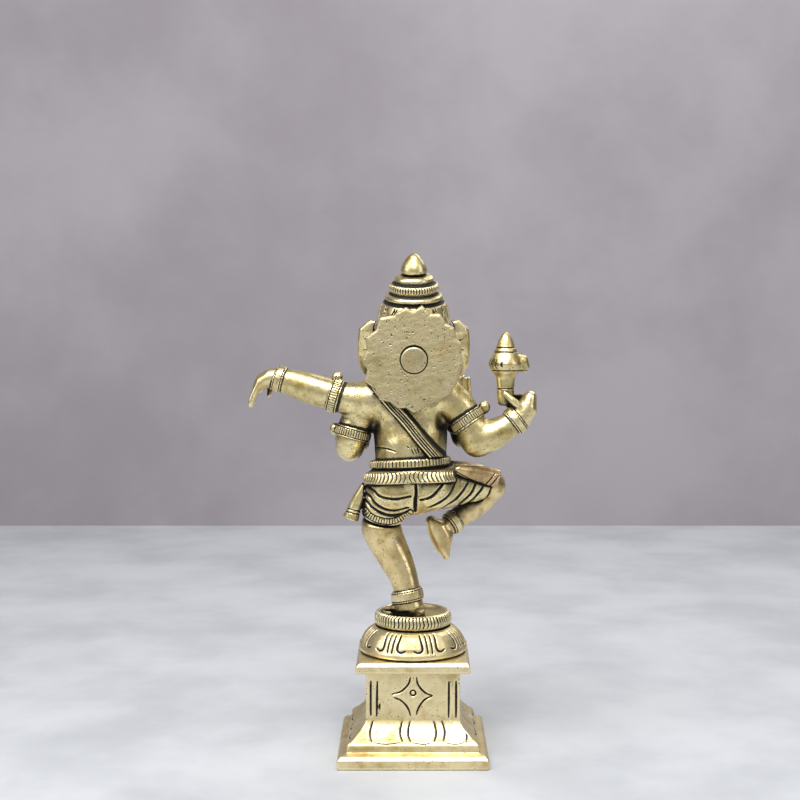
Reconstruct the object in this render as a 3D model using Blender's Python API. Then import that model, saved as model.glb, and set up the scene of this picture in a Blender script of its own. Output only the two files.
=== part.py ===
"""Dancing elephant-headed brass figure with four arms, on a lotus seat and a square hollow pedestal.

The figure faces -Y and its own left hand is at +X. The sizes below are measured from the middle
of the pedestal's foot; at the end everything moves so that the origin is the bottom centre of
the whole figure's box.
Each casting is its own solid: limbs plug into sockets in the torso under their armlets,
the crown, head and back disc sit on pegs, and one stud clamps the figure to the pedestal.
"""

import math

import bmesh
import bpy
from mathutils import Matrix, Vector
from mathutils.bvhtree import BVHTree

MM = 0.001  # metres in a millimetre: every size below is in millimetres

# Driving dimensions
FIT_GAP = 0.3  # clearance between castings that meet
PEG_RADIUS = 2.3  # pegs on limbs, head and crown
SOCKET_RADIUS = PEG_RADIUS + 0.6
PEG_DEPTH = 3.0

PLINTH_HALF = 26.4  # half the pedestal's width at the floor
DIE_HALF = 16.5  # half the width of the upright block
SLAB_HALF = 20.0  # half the width of the top slab
DIE_BOTTOM, DIE_TOP, SLAB_TOP = 14.2, 31.9, 36.0
WALL = 3.0  # pedestal's casting thickness

LOTUS_RADIUS, LOTUS_TOP = 19.4, 45.2
RIM_RADIUS, RIM_TOP, DISH_FLOOR = 13.9, 50.6, 48.6
STUD_RADIUS, STUD_ROOM = 2.0, 2.4

HEAD_CENTRE = Vector((-0.3, 1.5, 143.0))
CROWN_FOOT = Vector((-0.3, 2.6, 150.4))
CROWN_LEAN = math.radians(13.0)  # the crown leans back
TIP_HEIGHT = 178.0  # the crown's tip above the floor

DISC_CENTRE = Vector((-0.3, 18.0, 141.3))
DISC_LEAN = math.radians(3.0)
DISC_NOTCH, DISC_THICKNESS = 16.9, 1.8
# Each tooth of the disc: degrees from its top, towards the figure's right, and its tip's radius
DISC_TEETH = [
    (-9, 18.3), (8.6, 19.0), (31, 18.4), (52, 18.0), (72, 17.7), (94, 17.5), (115, 17.4), (134, 17.5),
    (153, 17.7), (180, 18.5), (199, 17.8), (221, 18.5), (247, 18.9), (270, 18.5), (294, 18.7), (320, 18.8)
]
DISC_SQUEEZE = 0.97  # the disc is a little narrower than tall
BOSS_RADIUS = 4.6  # the riveted end in the disc's middle

# Where the lower legs and the head plug into the torso
STANDING_JOINT, STANDING_AXIS = Vector((10.9, 1.2, 83.6)), Vector((0.17, -0.19, -0.97))
RAISED_JOINT, RAISED_AXIS = Vector((-25.2, -4.9, 96.0)), Vector((-0.87, -0.48, -0.14))
NECK_TOP = 133.6

WAIST_CENTRE, WAIST_AXIS, WAIST_WIDTH = Vector((0.5, 1.5, 104.1)), Vector((0.05, -0.08, 1)), 2.8

X_AXIS, Y_AXIS, Z_AXIS = Vector((1, 0, 0)), Vector((0, 1, 0)), Vector((0, 0, 1))

# Finishes: base colour, roughness
BRASS = ((0.72, 0.56, 0.27), 0.32)
PALE_BRASS = ((0.78, 0.66, 0.40), 0.38)
STEEL = ((0.52, 0.52, 0.50), 0.42)


def clear_scene():
    for obj in list(bpy.data.objects):
        bpy.data.objects.remove(obj)


def metal(name, finish):
    colour, roughness = finish
    material = bpy.data.materials.new(name)
    material.use_nodes = True
    shader = material.node_tree.nodes["Principled BSDF"]
    shader.inputs["Base Color"].default_value = (*colour, 1)
    shader.inputs["Metallic"].default_value = 1
    shader.inputs["Roughness"].default_value = roughness
    return material


def add_object(name, bm, finish=BRASS):
    """Turns a bmesh in millimetres into an object in metres with its own material."""
    bmesh.ops.recalc_face_normals(bm, faces=bm.faces)
    bmesh.ops.scale(bm, vec=(MM, MM, MM), verts=bm.verts)
    mesh = bpy.data.meshes.new(name)
    bm.to_mesh(mesh)
    bm.free()
    mesh.materials.append(metal(name, finish))
    mesh.shade_smooth()
    mesh.set_sharp_from_angle(angle=math.radians(40))
    obj = bpy.data.objects.new(name, mesh)
    bpy.context.scene.collection.objects.link(obj)
    return obj


def as_helper(obj):
    """A cutter or a piece joined into another isn't a part of its own."""
    obj.hide_render = True
    obj.display_type = "WIRE"
    return obj


def boolean(obj, other, operation):
    modifier = obj.modifiers.new(other.name, "BOOLEAN")
    modifier.operation = operation
    modifier.solver = "EXACT"
    modifier.object = as_helper(other)


def join(obj, *others):
    for other in others:
        boolean(obj, other, "UNION")
    return obj


def cut(obj, *others):
    for other in others:
        boolean(obj, other, "DIFFERENCE")
    return obj


def grown(stations, room):
    """The same stations with every half size increased by room."""
    return [(*s[:3], *(size + room for size in s[3:])) for s in stations]


def through(stations, steps):
    """A smooth run through the stations (Catmull-Rom), with the given steps in each span."""
    points = [Vector(s) for s in stations]
    ends = [2 * points[0] - points[1]] + points + [2 * points[-1] - points[-2]]
    run = []
    for a, b, c, d in zip(ends, ends[1:], ends[2:], ends[3:]):
        for step in range(steps):
            t = step / steps
            run.append(
                0.5 * (2 * b + (c - a) * t + (2 * a - 5 * b + 4 * c - d) * t**2
                       + (3 * b - a - 3 * c + d) * t**3)
            )
    return run + [points[-1]]


def section(centre, tangent, guide, half_side, half_depth, sides):
    depth = (guide - tangent * guide.dot(tangent)).normalized()
    side = depth.cross(tangent)
    angles = [2 * math.pi * k / sides for k in range(sides)]
    return [centre + side * half_side * math.cos(a) + depth * half_depth * math.sin(a) for a in angles]


def loft(name, stations, sides=12, steps=2, guide=Y_AXIS, ends=("round", "round"), finish=BRASS):
    """A tube through stations (x, y, z, half side, half depth); the depth lies along the guide."""
    run = through([s if len(s) == 5 else (*s, s[3]) for s in stations], steps)
    centres = [Vector(s[:3]) for s in run]
    rings = []
    for index, station in enumerate(run):
        before, after = centres[max(index - 1, 0)], centres[min(index + 1, len(run) - 1)]
        tangent = (after - before).normalized()
        rings.append((centres[index], tangent, station[3], station[4]))
    bm = bmesh.new()
    loops = []
    round_steps = (math.radians(32), math.radians(62))

    def add_ring(centre, tangent, half_side, half_depth):
        points = section(centre, tangent, guide, half_side, half_depth, sides)
        loops.append([bm.verts.new(p) for p in points])

    tips = [None, None]
    first, last = rings[0], rings[-1]
    if ends[0] == "round":
        reach = min(first[2], first[3])
        tips[0] = bm.verts.new(first[0] - first[1] * reach)
        for angle in reversed(round_steps):
            centre = first[0] - first[1] * reach * math.sin(angle)
            add_ring(centre, first[1], first[2] * math.cos(angle), first[3] * math.cos(angle))
    for ring in rings:
        add_ring(*ring)
    if ends[1] == "round":
        reach = min(last[2], last[3])
        for angle in round_steps:
            centre = last[0] + last[1] * reach * math.sin(angle)
            add_ring(centre, last[1], last[2] * math.cos(angle), last[3] * math.cos(angle))
        tips[1] = bm.verts.new(last[0] + last[1] * reach)
    for lower, upper in zip(loops, loops[1:]):
        for k in range(sides):
            n = (k + 1) % sides
            bm.faces.new((lower[k], lower[n], upper[n], upper[k]))
    for tip, loop in zip(tips, (loops[0], loops[-1])):
        if tip is None:
            bm.faces.new(loop)
            continue
        for k in range(sides):
            bm.faces.new((tip, loop[k], loop[(k + 1) % sides]))
    return add_object(name, bm, finish)


def ball(name, centre, radii, segments=14, turn=None):
    """An ellipsoid; radii is one radius or three."""
    radii = (radii,) * 3 if isinstance(radii, (int, float)) else radii
    bm = bmesh.new()
    bmesh.ops.create_uvsphere(bm, u_segments=segments, v_segments=segments // 2 + 1, radius=1)
    bmesh.ops.scale(bm, vec=radii, verts=bm.verts)
    if turn:
        bmesh.ops.rotate(bm, matrix=turn, verts=bm.verts)
    bmesh.ops.translate(bm, vec=Vector(centre), verts=bm.verts)
    return add_object(name, bm)


def turned(name, profile, steps=32, centre=(0, 0, 0), lean=0.0, axis=Z_AXIS, finish=BRASS):
    """A closed (radius, height) outline spun about Z, then set on its axis."""
    bm = bmesh.new()
    verts = [bm.verts.new((radius, 0, height)) for radius, height in profile]
    edges = [bm.edges.new(pair) for pair in zip(verts, verts[1:])]
    if profile[0][0] > 0:
        edges.append(bm.edges.new((verts[-1], verts[0])))
    bmesh.ops.spin(
        bm, geom=verts + edges, cent=(0, 0, 0), axis=(0, 0, 1), angle=2 * math.pi, steps=steps, use_merge=True
    )
    bmesh.ops.remove_doubles(bm, verts=bm.verts, dist=1e-4)
    turn = axis.to_track_quat("Z", "Y").to_matrix() if axis != Z_AXIS else Matrix.Rotation(-lean, 3, "X")
    bmesh.ops.rotate(bm, matrix=turn, verts=bm.verts)
    bmesh.ops.translate(bm, vec=Vector(centre), verts=bm.verts)
    return add_object(name, bm, finish)


def rod(name, start, end, radius, sides=16, finish=BRASS):
    start, end = Vector(start), Vector(end)
    length = (end - start).length
    return turned(
        name, [(0, 0), (radius, 0), (radius, length), (0, length)], sides, start,
        axis=(end - start).normalized(), finish=finish
    )


def square_tower(name, profile, finish=PALE_BRASS):
    """Square sections (half width, height) stacked into one block."""
    bm = bmesh.new()
    corners = ((1, 1), (-1, 1), (-1, -1), (1, -1))
    loops = [[bm.verts.new((x * half, y * half, z)) for x, y in corners] for half, z in profile]
    for lower, upper in zip(loops, loops[1:]):
        for k in range(4):
            n = (k + 1) % 4
            bm.faces.new((lower[k], lower[n], upper[n], upper[k]))
    bm.faces.new(loops[0])
    bm.faces.new(loops[-1])
    return add_object(name, bm, finish)


def skin_of(*wearers):
    bpy.context.view_layer.update()
    graph = bpy.context.evaluated_depsgraph_get()
    return [BVHTree.FromObject(wearer, graph) for wearer in wearers]


def reach_out(skins, start, direction, limit):
    """How far (in mm) the wearers' skin lies from a point inside them, up to the limit."""
    hits = [skin.ray_cast(start * MM, direction, limit * MM)[3] for skin in skins]
    found = [distance / MM for distance in hits if distance is not None]
    return max(found) if found else limit


def hug(name, wearers, centre, axis, width, thickness, sides=20, limit=30.0, arc=None, gap=FIT_GAP + 0.1):
    """A rounded band fitted round its wearers' skin; arc leaves it open between two angles."""
    skins = skin_of(*wearers)
    centre, axis = Vector(centre), Vector(axis).normalized()
    forward = (Y_AXIS - axis * axis.y if abs(axis.y) < 0.9 else Z_AXIS - axis * axis.z).normalized()
    side = forward.cross(axis).normalized()
    low, high = (math.radians(a) for a in arc) if arc else (0, 2 * math.pi)
    angles = [low + (high - low) * k / sides for k in range(sides + (1 if arc else 0))]
    rows = [-width / 2, 0, width / 2]
    outward = [side * math.cos(a) + forward * math.sin(a) for a in angles]
    reach = [[reach_out(skins, centre + axis * row, way, limit) for way in outward] for row in rows]
    bm = bmesh.new()
    loops = []
    for k, way in enumerate(outward):
        near = [(k - 1) % len(outward), k, (k + 1) % len(outward)]
        fit = [max(line[n] for n in near) + gap for line in reach]
        over = max(fit[1], (fit[0] + fit[2]) / 2)
        points = [
            (rows[0], fit[0]), (rows[0], fit[0] + thickness * 0.5),
            (rows[0] * 0.7, max(fit[0], over) + thickness), (rows[2] * 0.7, max(fit[2], over) + thickness),
            (rows[2], fit[2] + thickness * 0.5), (rows[2], fit[2]), (0, over)
        ]
        loops.append([bm.verts.new(centre + axis * along + way * out) for along, out in points])
    pairs = list(zip(loops, loops[1:])) + ([] if arc else [(loops[-1], loops[0])])
    for one, two in pairs:
        for k in range(len(one)):
            n = (k + 1) % len(one)
            bm.faces.new((one[k], one[n], two[n], two[k]))
    if arc:
        bm.faces.new(loops[0])
        bm.faces.new(loops[-1])
    return add_object(name, bm)


def armlet(name, arm):
    """A plain rounded ring over the seam between shoulder and arm, with a jewel on its outer side."""
    bore, outside, half = arm["radius"] + 0.25 + FIT_GAP, arm["armlet_radius"] + 0.2, 2.0
    outline = [(0, -half), (outside - 0.4, -half), (outside, -half * 0.6), (outside, half * 0.6),
               (outside - 0.4, half), (0, half)]
    joint, axis = Vector(arm["joint"]), Vector(arm["axis"]).normalized()
    ring = turned(name, outline, 18, joint, axis=axis)
    join(ring, ball(name + "_jewel", arm["boss"], (2.05, 1.87, 2.31), 9))
    return cut(ring, rod(name + "_bore", joint - axis * 5, joint + axis * 5, bore, 17))


def fingers(name, root, along, across, curl, length, count=4, pitch=1.95, radius=1.2):
    """Fingers side by side along across, each of three bones that bend by curl degrees."""
    root, along, across = Vector(root), Vector(along).normalized(), Vector(across).normalized()
    bend = Matrix.Rotation(math.radians(curl), 3, across)
    made = []
    for index in range(count):
        point = root + across * (index - (count - 1) / 2) * pitch
        reach = length * (1 - 0.08 * abs(index - (count - 1) / 2))
        direction = along.copy()
        stations = [(*(point - along * 1.6), radius)]
        for bone, share in enumerate((0.42, 0.33, 0.25)):
            point = point + direction * reach * share
            direction = bend @ direction
            stations.append((*point, radius * (1 - 0.1 * (bone + 1))))
        guide = across
        made.append(loft(f"{name}_finger_{index + 1}", stations, 6, 1, guide))
    return made


def make_pedestal():
    """Hollow casting: floor moulding, flared skirt, upright die and top slab."""
    outer = [
        (PLINTH_HALF - 0.3, 0.0), (PLINTH_HALF, 0.6), (PLINTH_HALF, 3.2), (PLINTH_HALF - 0.8, 4.5),
        (23.2, 5.3), (22.8, 7.8), (20.6, 9.4), (18.2, 11.8), (DIE_HALF + 0.2, DIE_BOTTOM),
        (DIE_HALF, DIE_BOTTOM + 0.6), (DIE_HALF, DIE_TOP - 0.4), (DIE_HALF + 0.8, DIE_TOP),
        (SLAB_HALF - 0.2, DIE_TOP + 0.2), (SLAB_HALF, DIE_TOP + 0.6), (SLAB_HALF, 34.4),
        (SLAB_HALF - 0.5, 35.3), (SLAB_HALF - 1.4, SLAB_TOP)
    ]
    inner = [
        (22.4, -1.0), (22.0, 4.0), (19.6, 6.4), (DIE_HALF - WALL, 12.6), (DIE_HALF - WALL, DIE_TOP - 0.4)
    ]
    pedestal = square_tower("pedestal", outer)
    hollow = square_tower("pedestal_hollow", inner)
    return cut(pedestal, hollow, rod("pedestal_bore", (0, 0, 20), (0, 0, 50), STUD_ROOM))


def make_lotus_and_rim():
    foot = SLAB_TOP + FIT_GAP
    lotus = [
        (STUD_ROOM, foot), (18.8, foot), (LOTUS_RADIUS, foot + 0.9), (19.2, 38.6), (18.3, 40.6),
        (17.0, 42.4), (15.4, 44.0), (14.0, 44.9), (12.6, LOTUS_TOP), (STUD_ROOM, LOTUS_TOP)
    ]
    turned("lotus_seat", lotus, 32)
    seat = LOTUS_TOP + FIT_GAP
    rim = [
        (STUD_ROOM, seat), (13.0, seat), (13.6, 46.3), (RIM_RADIUS, 47.6), (RIM_RADIUS - 0.2, 49.2),
        (RIM_RADIUS - 0.9, 50.3), (RIM_RADIUS - 1.7, RIM_TOP), (11.6, 50.2), (10.9, 49.1),
        (9.8, DISH_FLOOR), (STUD_ROOM, DISH_FLOOR)
    ]
    turned("foot_ring", rim, 32)


def make_clamp():
    """The stud screws into the foot; washer and nut pull it up against the pedestal's top plate."""
    plate = DIE_TOP - 0.4
    washer_top = plate - FIT_GAP
    washer_bottom = washer_top - 1.0
    nut_top = washer_bottom - FIT_GAP
    nut_height, nut_across = 3.2, 7.0
    washer = [
        (STUD_RADIUS + 0.35, washer_bottom), (5.0, washer_bottom), (5.0, washer_top),
        (STUD_RADIUS + 0.35, washer_top)
    ]
    turned("clamp_washer", washer, 24, finish=STEEL)
    corner = nut_across / math.sqrt(3)
    nut = [
        (0, nut_top - nut_height), (corner, nut_top - nut_height), (corner, nut_top), (0, nut_top)
    ]
    hexagon = turned("clamp_nut", nut, 6, finish=STEEL)
    bore = rod("nut_bore", (0, 0, nut_top - 6), (0, 0, nut_top + 2), STUD_RADIUS + 0.35)
    cut(hexagon, bore)
    rod("clamp_stud", (0, 0, nut_top - nut_height - 2.5), (0, 0, 52.6), STUD_RADIUS, finish=STEEL)


# Arms. The shoulder stub belongs to the torso; the arm plugs into it at the joint, along axis.
ARMS = {
    "rear_left": {
        "stub": [(9, 4.5, 126, 8.4), (17, 4.3, 126.4, 7.0), (22.4, 3.6, 126.9, 5.9)],
        "joint": (27.6, 3.2, 128.0), "axis": (0.955, -0.06, 0.29), "radius": 5.6,
        "armlet_radius": 6.4, "boss": (26.6, 3.2, 134.6),
        "forearm": [(37.4, 2.7, 130.8, 5.6, 5.0), (43.2, 2.3, 132.6, 4.9, 4.4), (47.6, 2.0, 133.9, 4.1, 3.7),
                    (50.6, 1.7, 134.2, 3.6, 4.0), (53.6, 1.2, 132.8, 2.9, 4.4), (54.8, 1.0, 131.0, 2.3, 4.3)],
        "guide": Y_AXIS, "wrist": (47.4, 2.0, 133.8), "wrist_axis": (0.95, -0.08, 0.3),
        "fingers": {"root": (54.8, 0.9, 131.2), "along": (0.50, 0.0, -0.86), "across": (0, 1, 0),
                    "curl": 9, "length": 7.6, "pitch": 2.1, "radius": 1.5},
        "thumb": [(51.2, -2.2, 132.2, 1.6), (50.9, -3.0, 129.8, 1.35), (51.4, -2.6, 127.8, 1.0)]
    },
    "front_left": {
        "stub": [(11, 1, 124.5, 7.6), (17.2, 0.6, 122.4, 6.8)],
        "joint": (21.4, 0.9, 114.6), "axis": (0.26, 0.05, -0.96), "radius": 5.9,
        "armlet_radius": 6.8, "boss": (28.0, 0.6, 116.0),
        "elbow": (22.6, 0.8, 109.8), "elbow_radius": 5.2,
        "forearm": [(22.6, 0.4, 108.5, 4.4), (22.0, -6.0, 108.0, 4.2), (20.8, -11.0, 109.8, 3.9),
                    (19.8, -14.6, 111.9, 3.5), (19.2, -17.4, 113.2, 4.0, 2.3),
                    (18.6, -19.6, 113.4, 4.2, 1.9)],
        "guide": Z_AXIS, "wrist": (20.0, -12.4, 111.4), "wrist_axis": (-0.34, -0.88, 0.34),
        "fingers": {"root": (18.3, -20.4, 113.5), "along": (-0.2, -0.93, 0.25), "across": (1, -0.2, 0),
                    "curl": -34, "length": 7.4},
        "thumb": [(15.6, -16.0, 113.6, 1.5), (13.0, -17.4, 114.6, 1.3), (11.8, -19.2, 116.0, 1.0)]
    },
    "rear_right": {
        "stub": [(-7, 4, 126.5, 8.4), (-12.6, 4.2, 127.2, 7.6), (-16.4, 4.6, 123.4, 6.6)],
        "joint": (-19.2, 5.7, 119.6), "axis": (-0.56, 0.12, -0.82), "radius": 5.8,
        "armlet_radius": 6.6, "boss": (-25.6, 4.4, 124.2),
        "elbow": (-22.8, 6.0, 112.6), "elbow_radius": 6.4,
        "forearm": [(-23.0, 6.1, 112.6, 6.2), (-28.8, 6.4, 114.8, 5.6), (-34.2, 6.1, 118.1, 4.5),
                    (-37.9, 5.8, 120.8, 4.5, 4.2), (-40.2, 5.3, 124.0, 4.0, 4.2),
                    (-41.2, 4.8, 127.4, 2.6, 3.6)],
        "guide": Y_AXIS, "wrist": (-36.0, 6.0, 119.6), "wrist_axis": (-0.78, -0.08, 0.62),
        "fingers": {"root": (-40.0, 2.4, 125.4), "along": (0.35, -0.94, 0), "across": (-0.1, 0, 1),
                    "curl": 52, "length": 10.5, "count": 3},
        "thumb": [(-38.0, 7.6, 124.0, 1.6), (-34.8, 8.6, 126.6, 1.45), (-32.2, 7.9, 129.0, 1.15)]
    },
    "front_right": {
        "stub": [(-8, 0.5, 124, 7.4), (-13.6, -4.6, 122.2, 5.7)],
        "joint": (-17.1, -8.5, 117.5), "axis": (-0.32, -0.40, -0.86), "radius": 4.8,
        "armlet_radius": 5.5, "boss": (-21.8, -10.4, 118.8),
        "elbow": (-18.4, -10.4, 112.6), "elbow_radius": 4.9,
        "forearm": [(-18.4, -10.8, 112.6, 4.7), (-18.4, -15.6, 114.2, 4.2), (-18.2, -18.8, 117.4, 3.5),
                    (-18.0, -20.2, 120.6, 3.2, 2.8), (-17.8, -20.6, 123.4, 3.8, 2.1),
                    (-17.7, -20.8, 126.0, 3.9, 1.8)],
        "guide": Y_AXIS, "wrist": (-18.1, -19.3, 118.7), "wrist_axis": (0.08, -0.42, 0.9),
        "fingers": {"root": (-17.7, -20.8, 126.4), "along": (0.0, -0.04, 1), "across": (1, 0, 0), "curl": -4,
                    "length": 7.2},
        "thumb": [(-14.4, -20.3, 123.0, 1.5), (-13.1, -21.1, 125.4, 1.25), (-12.9, -21.3, 127.6, 1.0)]
    },
}


def trunk_of_body(name, room=0.0):
    spine = [
        (0.8, 3.6, 93.0, 11.6, 8.0), (0.9, 3.4, 95.0, 13.3, 10.4), (0.9, 2.6, 99.0, 13.6, 12.0),
        (0.8, 0.8, 105.5, 12.8, 13.4), (0.8, -0.6, 112.0, 13.2, 14.4), (1.0, 0.6, 119.0, 13.8, 12.0),
        (1.6, 2.2, 126.0, 13.4, 9.6), (0.8, 2.8, 130.6, 9.4, 7.6), (0.0, 2.8, NECK_TOP, 6.6, 6.2)
    ]
    return loft(name, grown(spine, room), 16, 1, ends=("round", "flat"))


def hips(name, room=0.0):
    return [
        ball(name + "_left_buttock", (7.6, 7.2, 95.4), (8.0 + room, 8.2 + room, 8.6 + room), 14),
        ball(name + "_right_buttock", (-6.8, 7.2, 95.8), (8.2 + room, 8.2 + room, 8.4 + room), 14)
    ]


def thighs(name, room=0.0):
    """Both clothed thighs; room makes them larger all round."""
    left_thigh = [(8.2, 3.6, 96, 9.2), (9.8, 2.4, 90, 8.4), (*STANDING_JOINT, 7.7)]
    right_thigh = [(-6.5, 3, 96, 9.2), (-15, 0.2, 96.6, 8.1), (-21.5, -2.9, 96.4, 7.2), (*RAISED_JOINT, 6.5)]
    return [
        loft(name + "_left_thigh", grown(left_thigh, room), 16, 1, ends=("round", "flat")),
        loft(name + "_right_thigh", grown(right_thigh, room), 16, 1, ends=("round", "flat"))
    ]


def stub_shapes(kind, room=0.0):
    """The start of each upper arm, straight where the armlet goes."""
    made = []
    for name, arm in ARMS.items():
        axis, joint = Vector(arm["axis"]).normalized(), Vector(arm["joint"])
        ending = [(*(joint - axis * 2.4), arm["radius"] + 0.1), (*joint, arm["radius"])]
        stations = grown(arm["stub"] + ending, room)
        made.append(loft(f"{kind}_{name}", stations, 12, 1, Y_AXIS, ("round", "flat")))
    return made


def make_torso():
    """Chest, pot belly, hips and clothed thighs with four shoulder stubs, in one casting."""
    torso = trunk_of_body("torso")
    join(torso, ball("belly", (0.6, -5.0, 108.0), (12.2, 13.0, 11.0), 16), *hips("torso"))
    make_body_bands(torso)
    join(torso, *stub_shapes("stub"))
    make_sacred_thread(torso)
    join(torso, *thighs("torso"))
    for name, arm in ARMS.items():
        axis, joint = Vector(arm["axis"]).normalized(), Vector(arm["joint"])
        bottom = joint - axis * (PEG_DEPTH + 0.5)
        cut(torso, rod(name + "_socket", bottom, joint + axis * 4, SOCKET_RADIUS, 12))
    cut(torso, rod("neck_socket", (0, 2.8, 129.8), (0, 2.8, 140), SOCKET_RADIUS, 12))
    for joint, axis in ((RAISED_JOINT, RAISED_AXIS), (STANDING_JOINT, STANDING_AXIS)):
        bottom = joint - axis * (PEG_DEPTH + 0.5)
        cut(torso, rod("leg_socket", bottom, joint + axis * 4, SOCKET_RADIUS, 12))
    return torso


def make_body_bands(torso):
    """Both belts, fitted to the trunk before the thighs are added."""
    waist = hug("waist_belt", (torso,), WAIST_CENTRE, WAIST_AXIS, WAIST_WIDTH, 1.1, 32)
    hip = hug("hip_belt", (torso,), (0.5, 1.5, 99.4), (0.03, -0.08, 1), 4.4, 1.2, 28, arc=(-112, 148),
              gap=0.6)
    for band in (waist, hip):
        cut(band, *thighs(band.name + "_thigh_room", 0.5))


def make_sacred_thread(torso):
    """A strap from the left shoulder to the right hip; both ends stop at the waist belt."""
    thread = hug("sacred_thread", (torso,), (-0.5, 0.5, 117.2), (-0.766, 0.05, 0.643), 3.4, 0.8, 32)
    above = WAIST_WIDTH / 2 + 0.4
    floor = [(0, -30), (40, -30), (40, above), (0, above)]
    return cut(thread, turned("thread_floor", floor, 12, WAIST_CENTRE, axis=WAIST_AXIS.normalized()))


def make_standing_leg():
    """Bare lower leg and foot; a pad under the sole drops into the ring's dish."""
    leg = loft("standing_leg", [
        (*(STANDING_JOINT + STANDING_AXIS * 0.4), 7.3), (*(STANDING_JOINT + STANDING_AXIS * 3.5), 7.2),
        (9.8, 0.0, 76.0, 6.8), (7.5, 0.1, 71.6, 6.3), (5.3, 0.8, 67.2, 5.8), (3.2, 2.0, 62.5, 5.1),
        (2.2, 2.5, 58.5, 4.9), (1.6, 2.8, 54.5, 5.0), (0.9, 3.2, 51.4, 5.2)
    ], 16, 1, ends=("flat", "flat"))
    toe_way = Vector((0.80, -0.60, 0))
    heel = Vector((-1.4, 4.2, 51.6))
    sole = loft("sole", [
        (*heel, 4.7, 2.2), (*(heel + toe_way * 4.4 + Z_AXIS * 0.5), 4.5, 2.8),
        (*(heel + toe_way * 7.6 + Z_AXIS * 0.1), 4.7, 2.0), (*(heel + toe_way * 9.2 - Z_AXIS * 0.2), 4.2, 1.5)
    ], 12, 1, Z_AXIS)
    pad = turned("sole_pad", [(0, 0), (7.2, 0), (7.2, 2.6), (0, 2.6)], 16)
    pad.data.transform(Matrix.Diagonal((1.0, 0.56, 1.0, 1)))
    pad.data.transform(Matrix.Translation(Vector((1.8, 1.6, DISH_FLOOR + FIT_GAP)) * MM)
                       @ Matrix.Rotation(math.atan2(toe_way.y, toe_way.x), 4, "Z"))
    toes = []
    across = Vector((0.60, 0.80, 0))
    for index in range(5):
        root = heel + toe_way * (9.6 - 0.3 * index) + across * (2 - index) * 1.6
        root.z = 51.2
        size = 1.25 - 0.1 * index
        end = root + toe_way * 1.6 - Z_AXIS * 0.2
        toes.append(loft(f"toe_{index + 1}", [(*root, size), (*end, size * 0.9)], 6, 1, Z_AXIS))
    peg = rod("leg_peg", STANDING_JOINT - STANDING_AXIS * PEG_DEPTH, STANDING_JOINT + STANDING_AXIS * 3,
              PEG_RADIUS, 12)
    join(leg, sole, pad, peg, *toes)
    stud_hole = rod("stud_hole", (0, 0, 40), (0, 0, 52.9), STUD_ROOM)
    return cut(leg, stud_hole)


def make_raised_leg():
    """Knee, shin folded back under the thigh, and the pointed foot."""
    start, bend = RAISED_JOINT + RAISED_AXIS * FIT_GAP, RAISED_JOINT + RAISED_AXIS * 2.6
    leg = loft("raised_leg", [(*start, 6.1), (*bend, 6.0)], 14, 1, ends=("flat", "flat"))
    knee = ball("knee", (-27.9, -6.5, 94.7), 5.9, 14)
    shin = loft("shin", [
        (-27.0, -9.2, 92.0, 5.3), (-22.8, -9.0, 87.4, 4.9), (-17.6, -7.6, 83.8, 4.2),
        (-13.4, -5.6, 80.6, 3.5), (-10.8, -4.2, 78.6, 3.3)
    ], 12, 1)
    foot = loft("raised_foot", [
        (-6.6, -3.6, 82.0, 2.2, 3.2), (-8.9, -3.6, 79.4, 4.1, 3.8), (-10.6, -3.4, 76.2, 4.3, 3.9),
        (-10.9, -3.2, 72.4, 3.0, 4.1), (-11.9, -3.0, 69.8, 1.6, 3.7)
    ], 12, 1)
    peg_end = RAISED_JOINT - RAISED_AXIS * PEG_DEPTH
    peg = rod("knee_peg", peg_end, RAISED_JOINT + RAISED_AXIS * 2.4, PEG_RADIUS, 12)
    join(leg, knee, shin, foot)
    cut(leg, *thighs("shin_room", 0.35))
    return join(leg, peg)


def make_arm(name, arm):
    axis, joint = Vector(arm["axis"]).normalized(), Vector(arm["joint"])
    begin = [(*(joint + axis * FIT_GAP), arm["radius"]), (*(joint + axis * 3), arm["radius"])]
    if "elbow" in arm:
        bent = Vector(arm["elbow"])
        limb = loft(name + "_arm", begin + [(*bent, arm["elbow_radius"] - 0.2)], 12, 1, Y_AXIS,
                    ("flat", "round"))
        join(limb, ball(name + "_elbow", bent, arm["elbow_radius"], 12),
             loft(name + "_forearm", arm["forearm"], 12, 1, arm["guide"]))
    else:
        limb = loft(name + "_arm", begin + arm["forearm"], 12, 1, arm["guide"], ("flat", "round"))
    peg = rod(name + "_peg", joint - axis * PEG_DEPTH, joint + axis * 3, PEG_RADIUS, 12)
    thumb = loft(name + "_thumb", arm["thumb"], 6, 1, Vector((0.3, 1, 0.2)))
    return join(limb, peg, thumb, *fingers(name, **arm["fingers"]))


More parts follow.
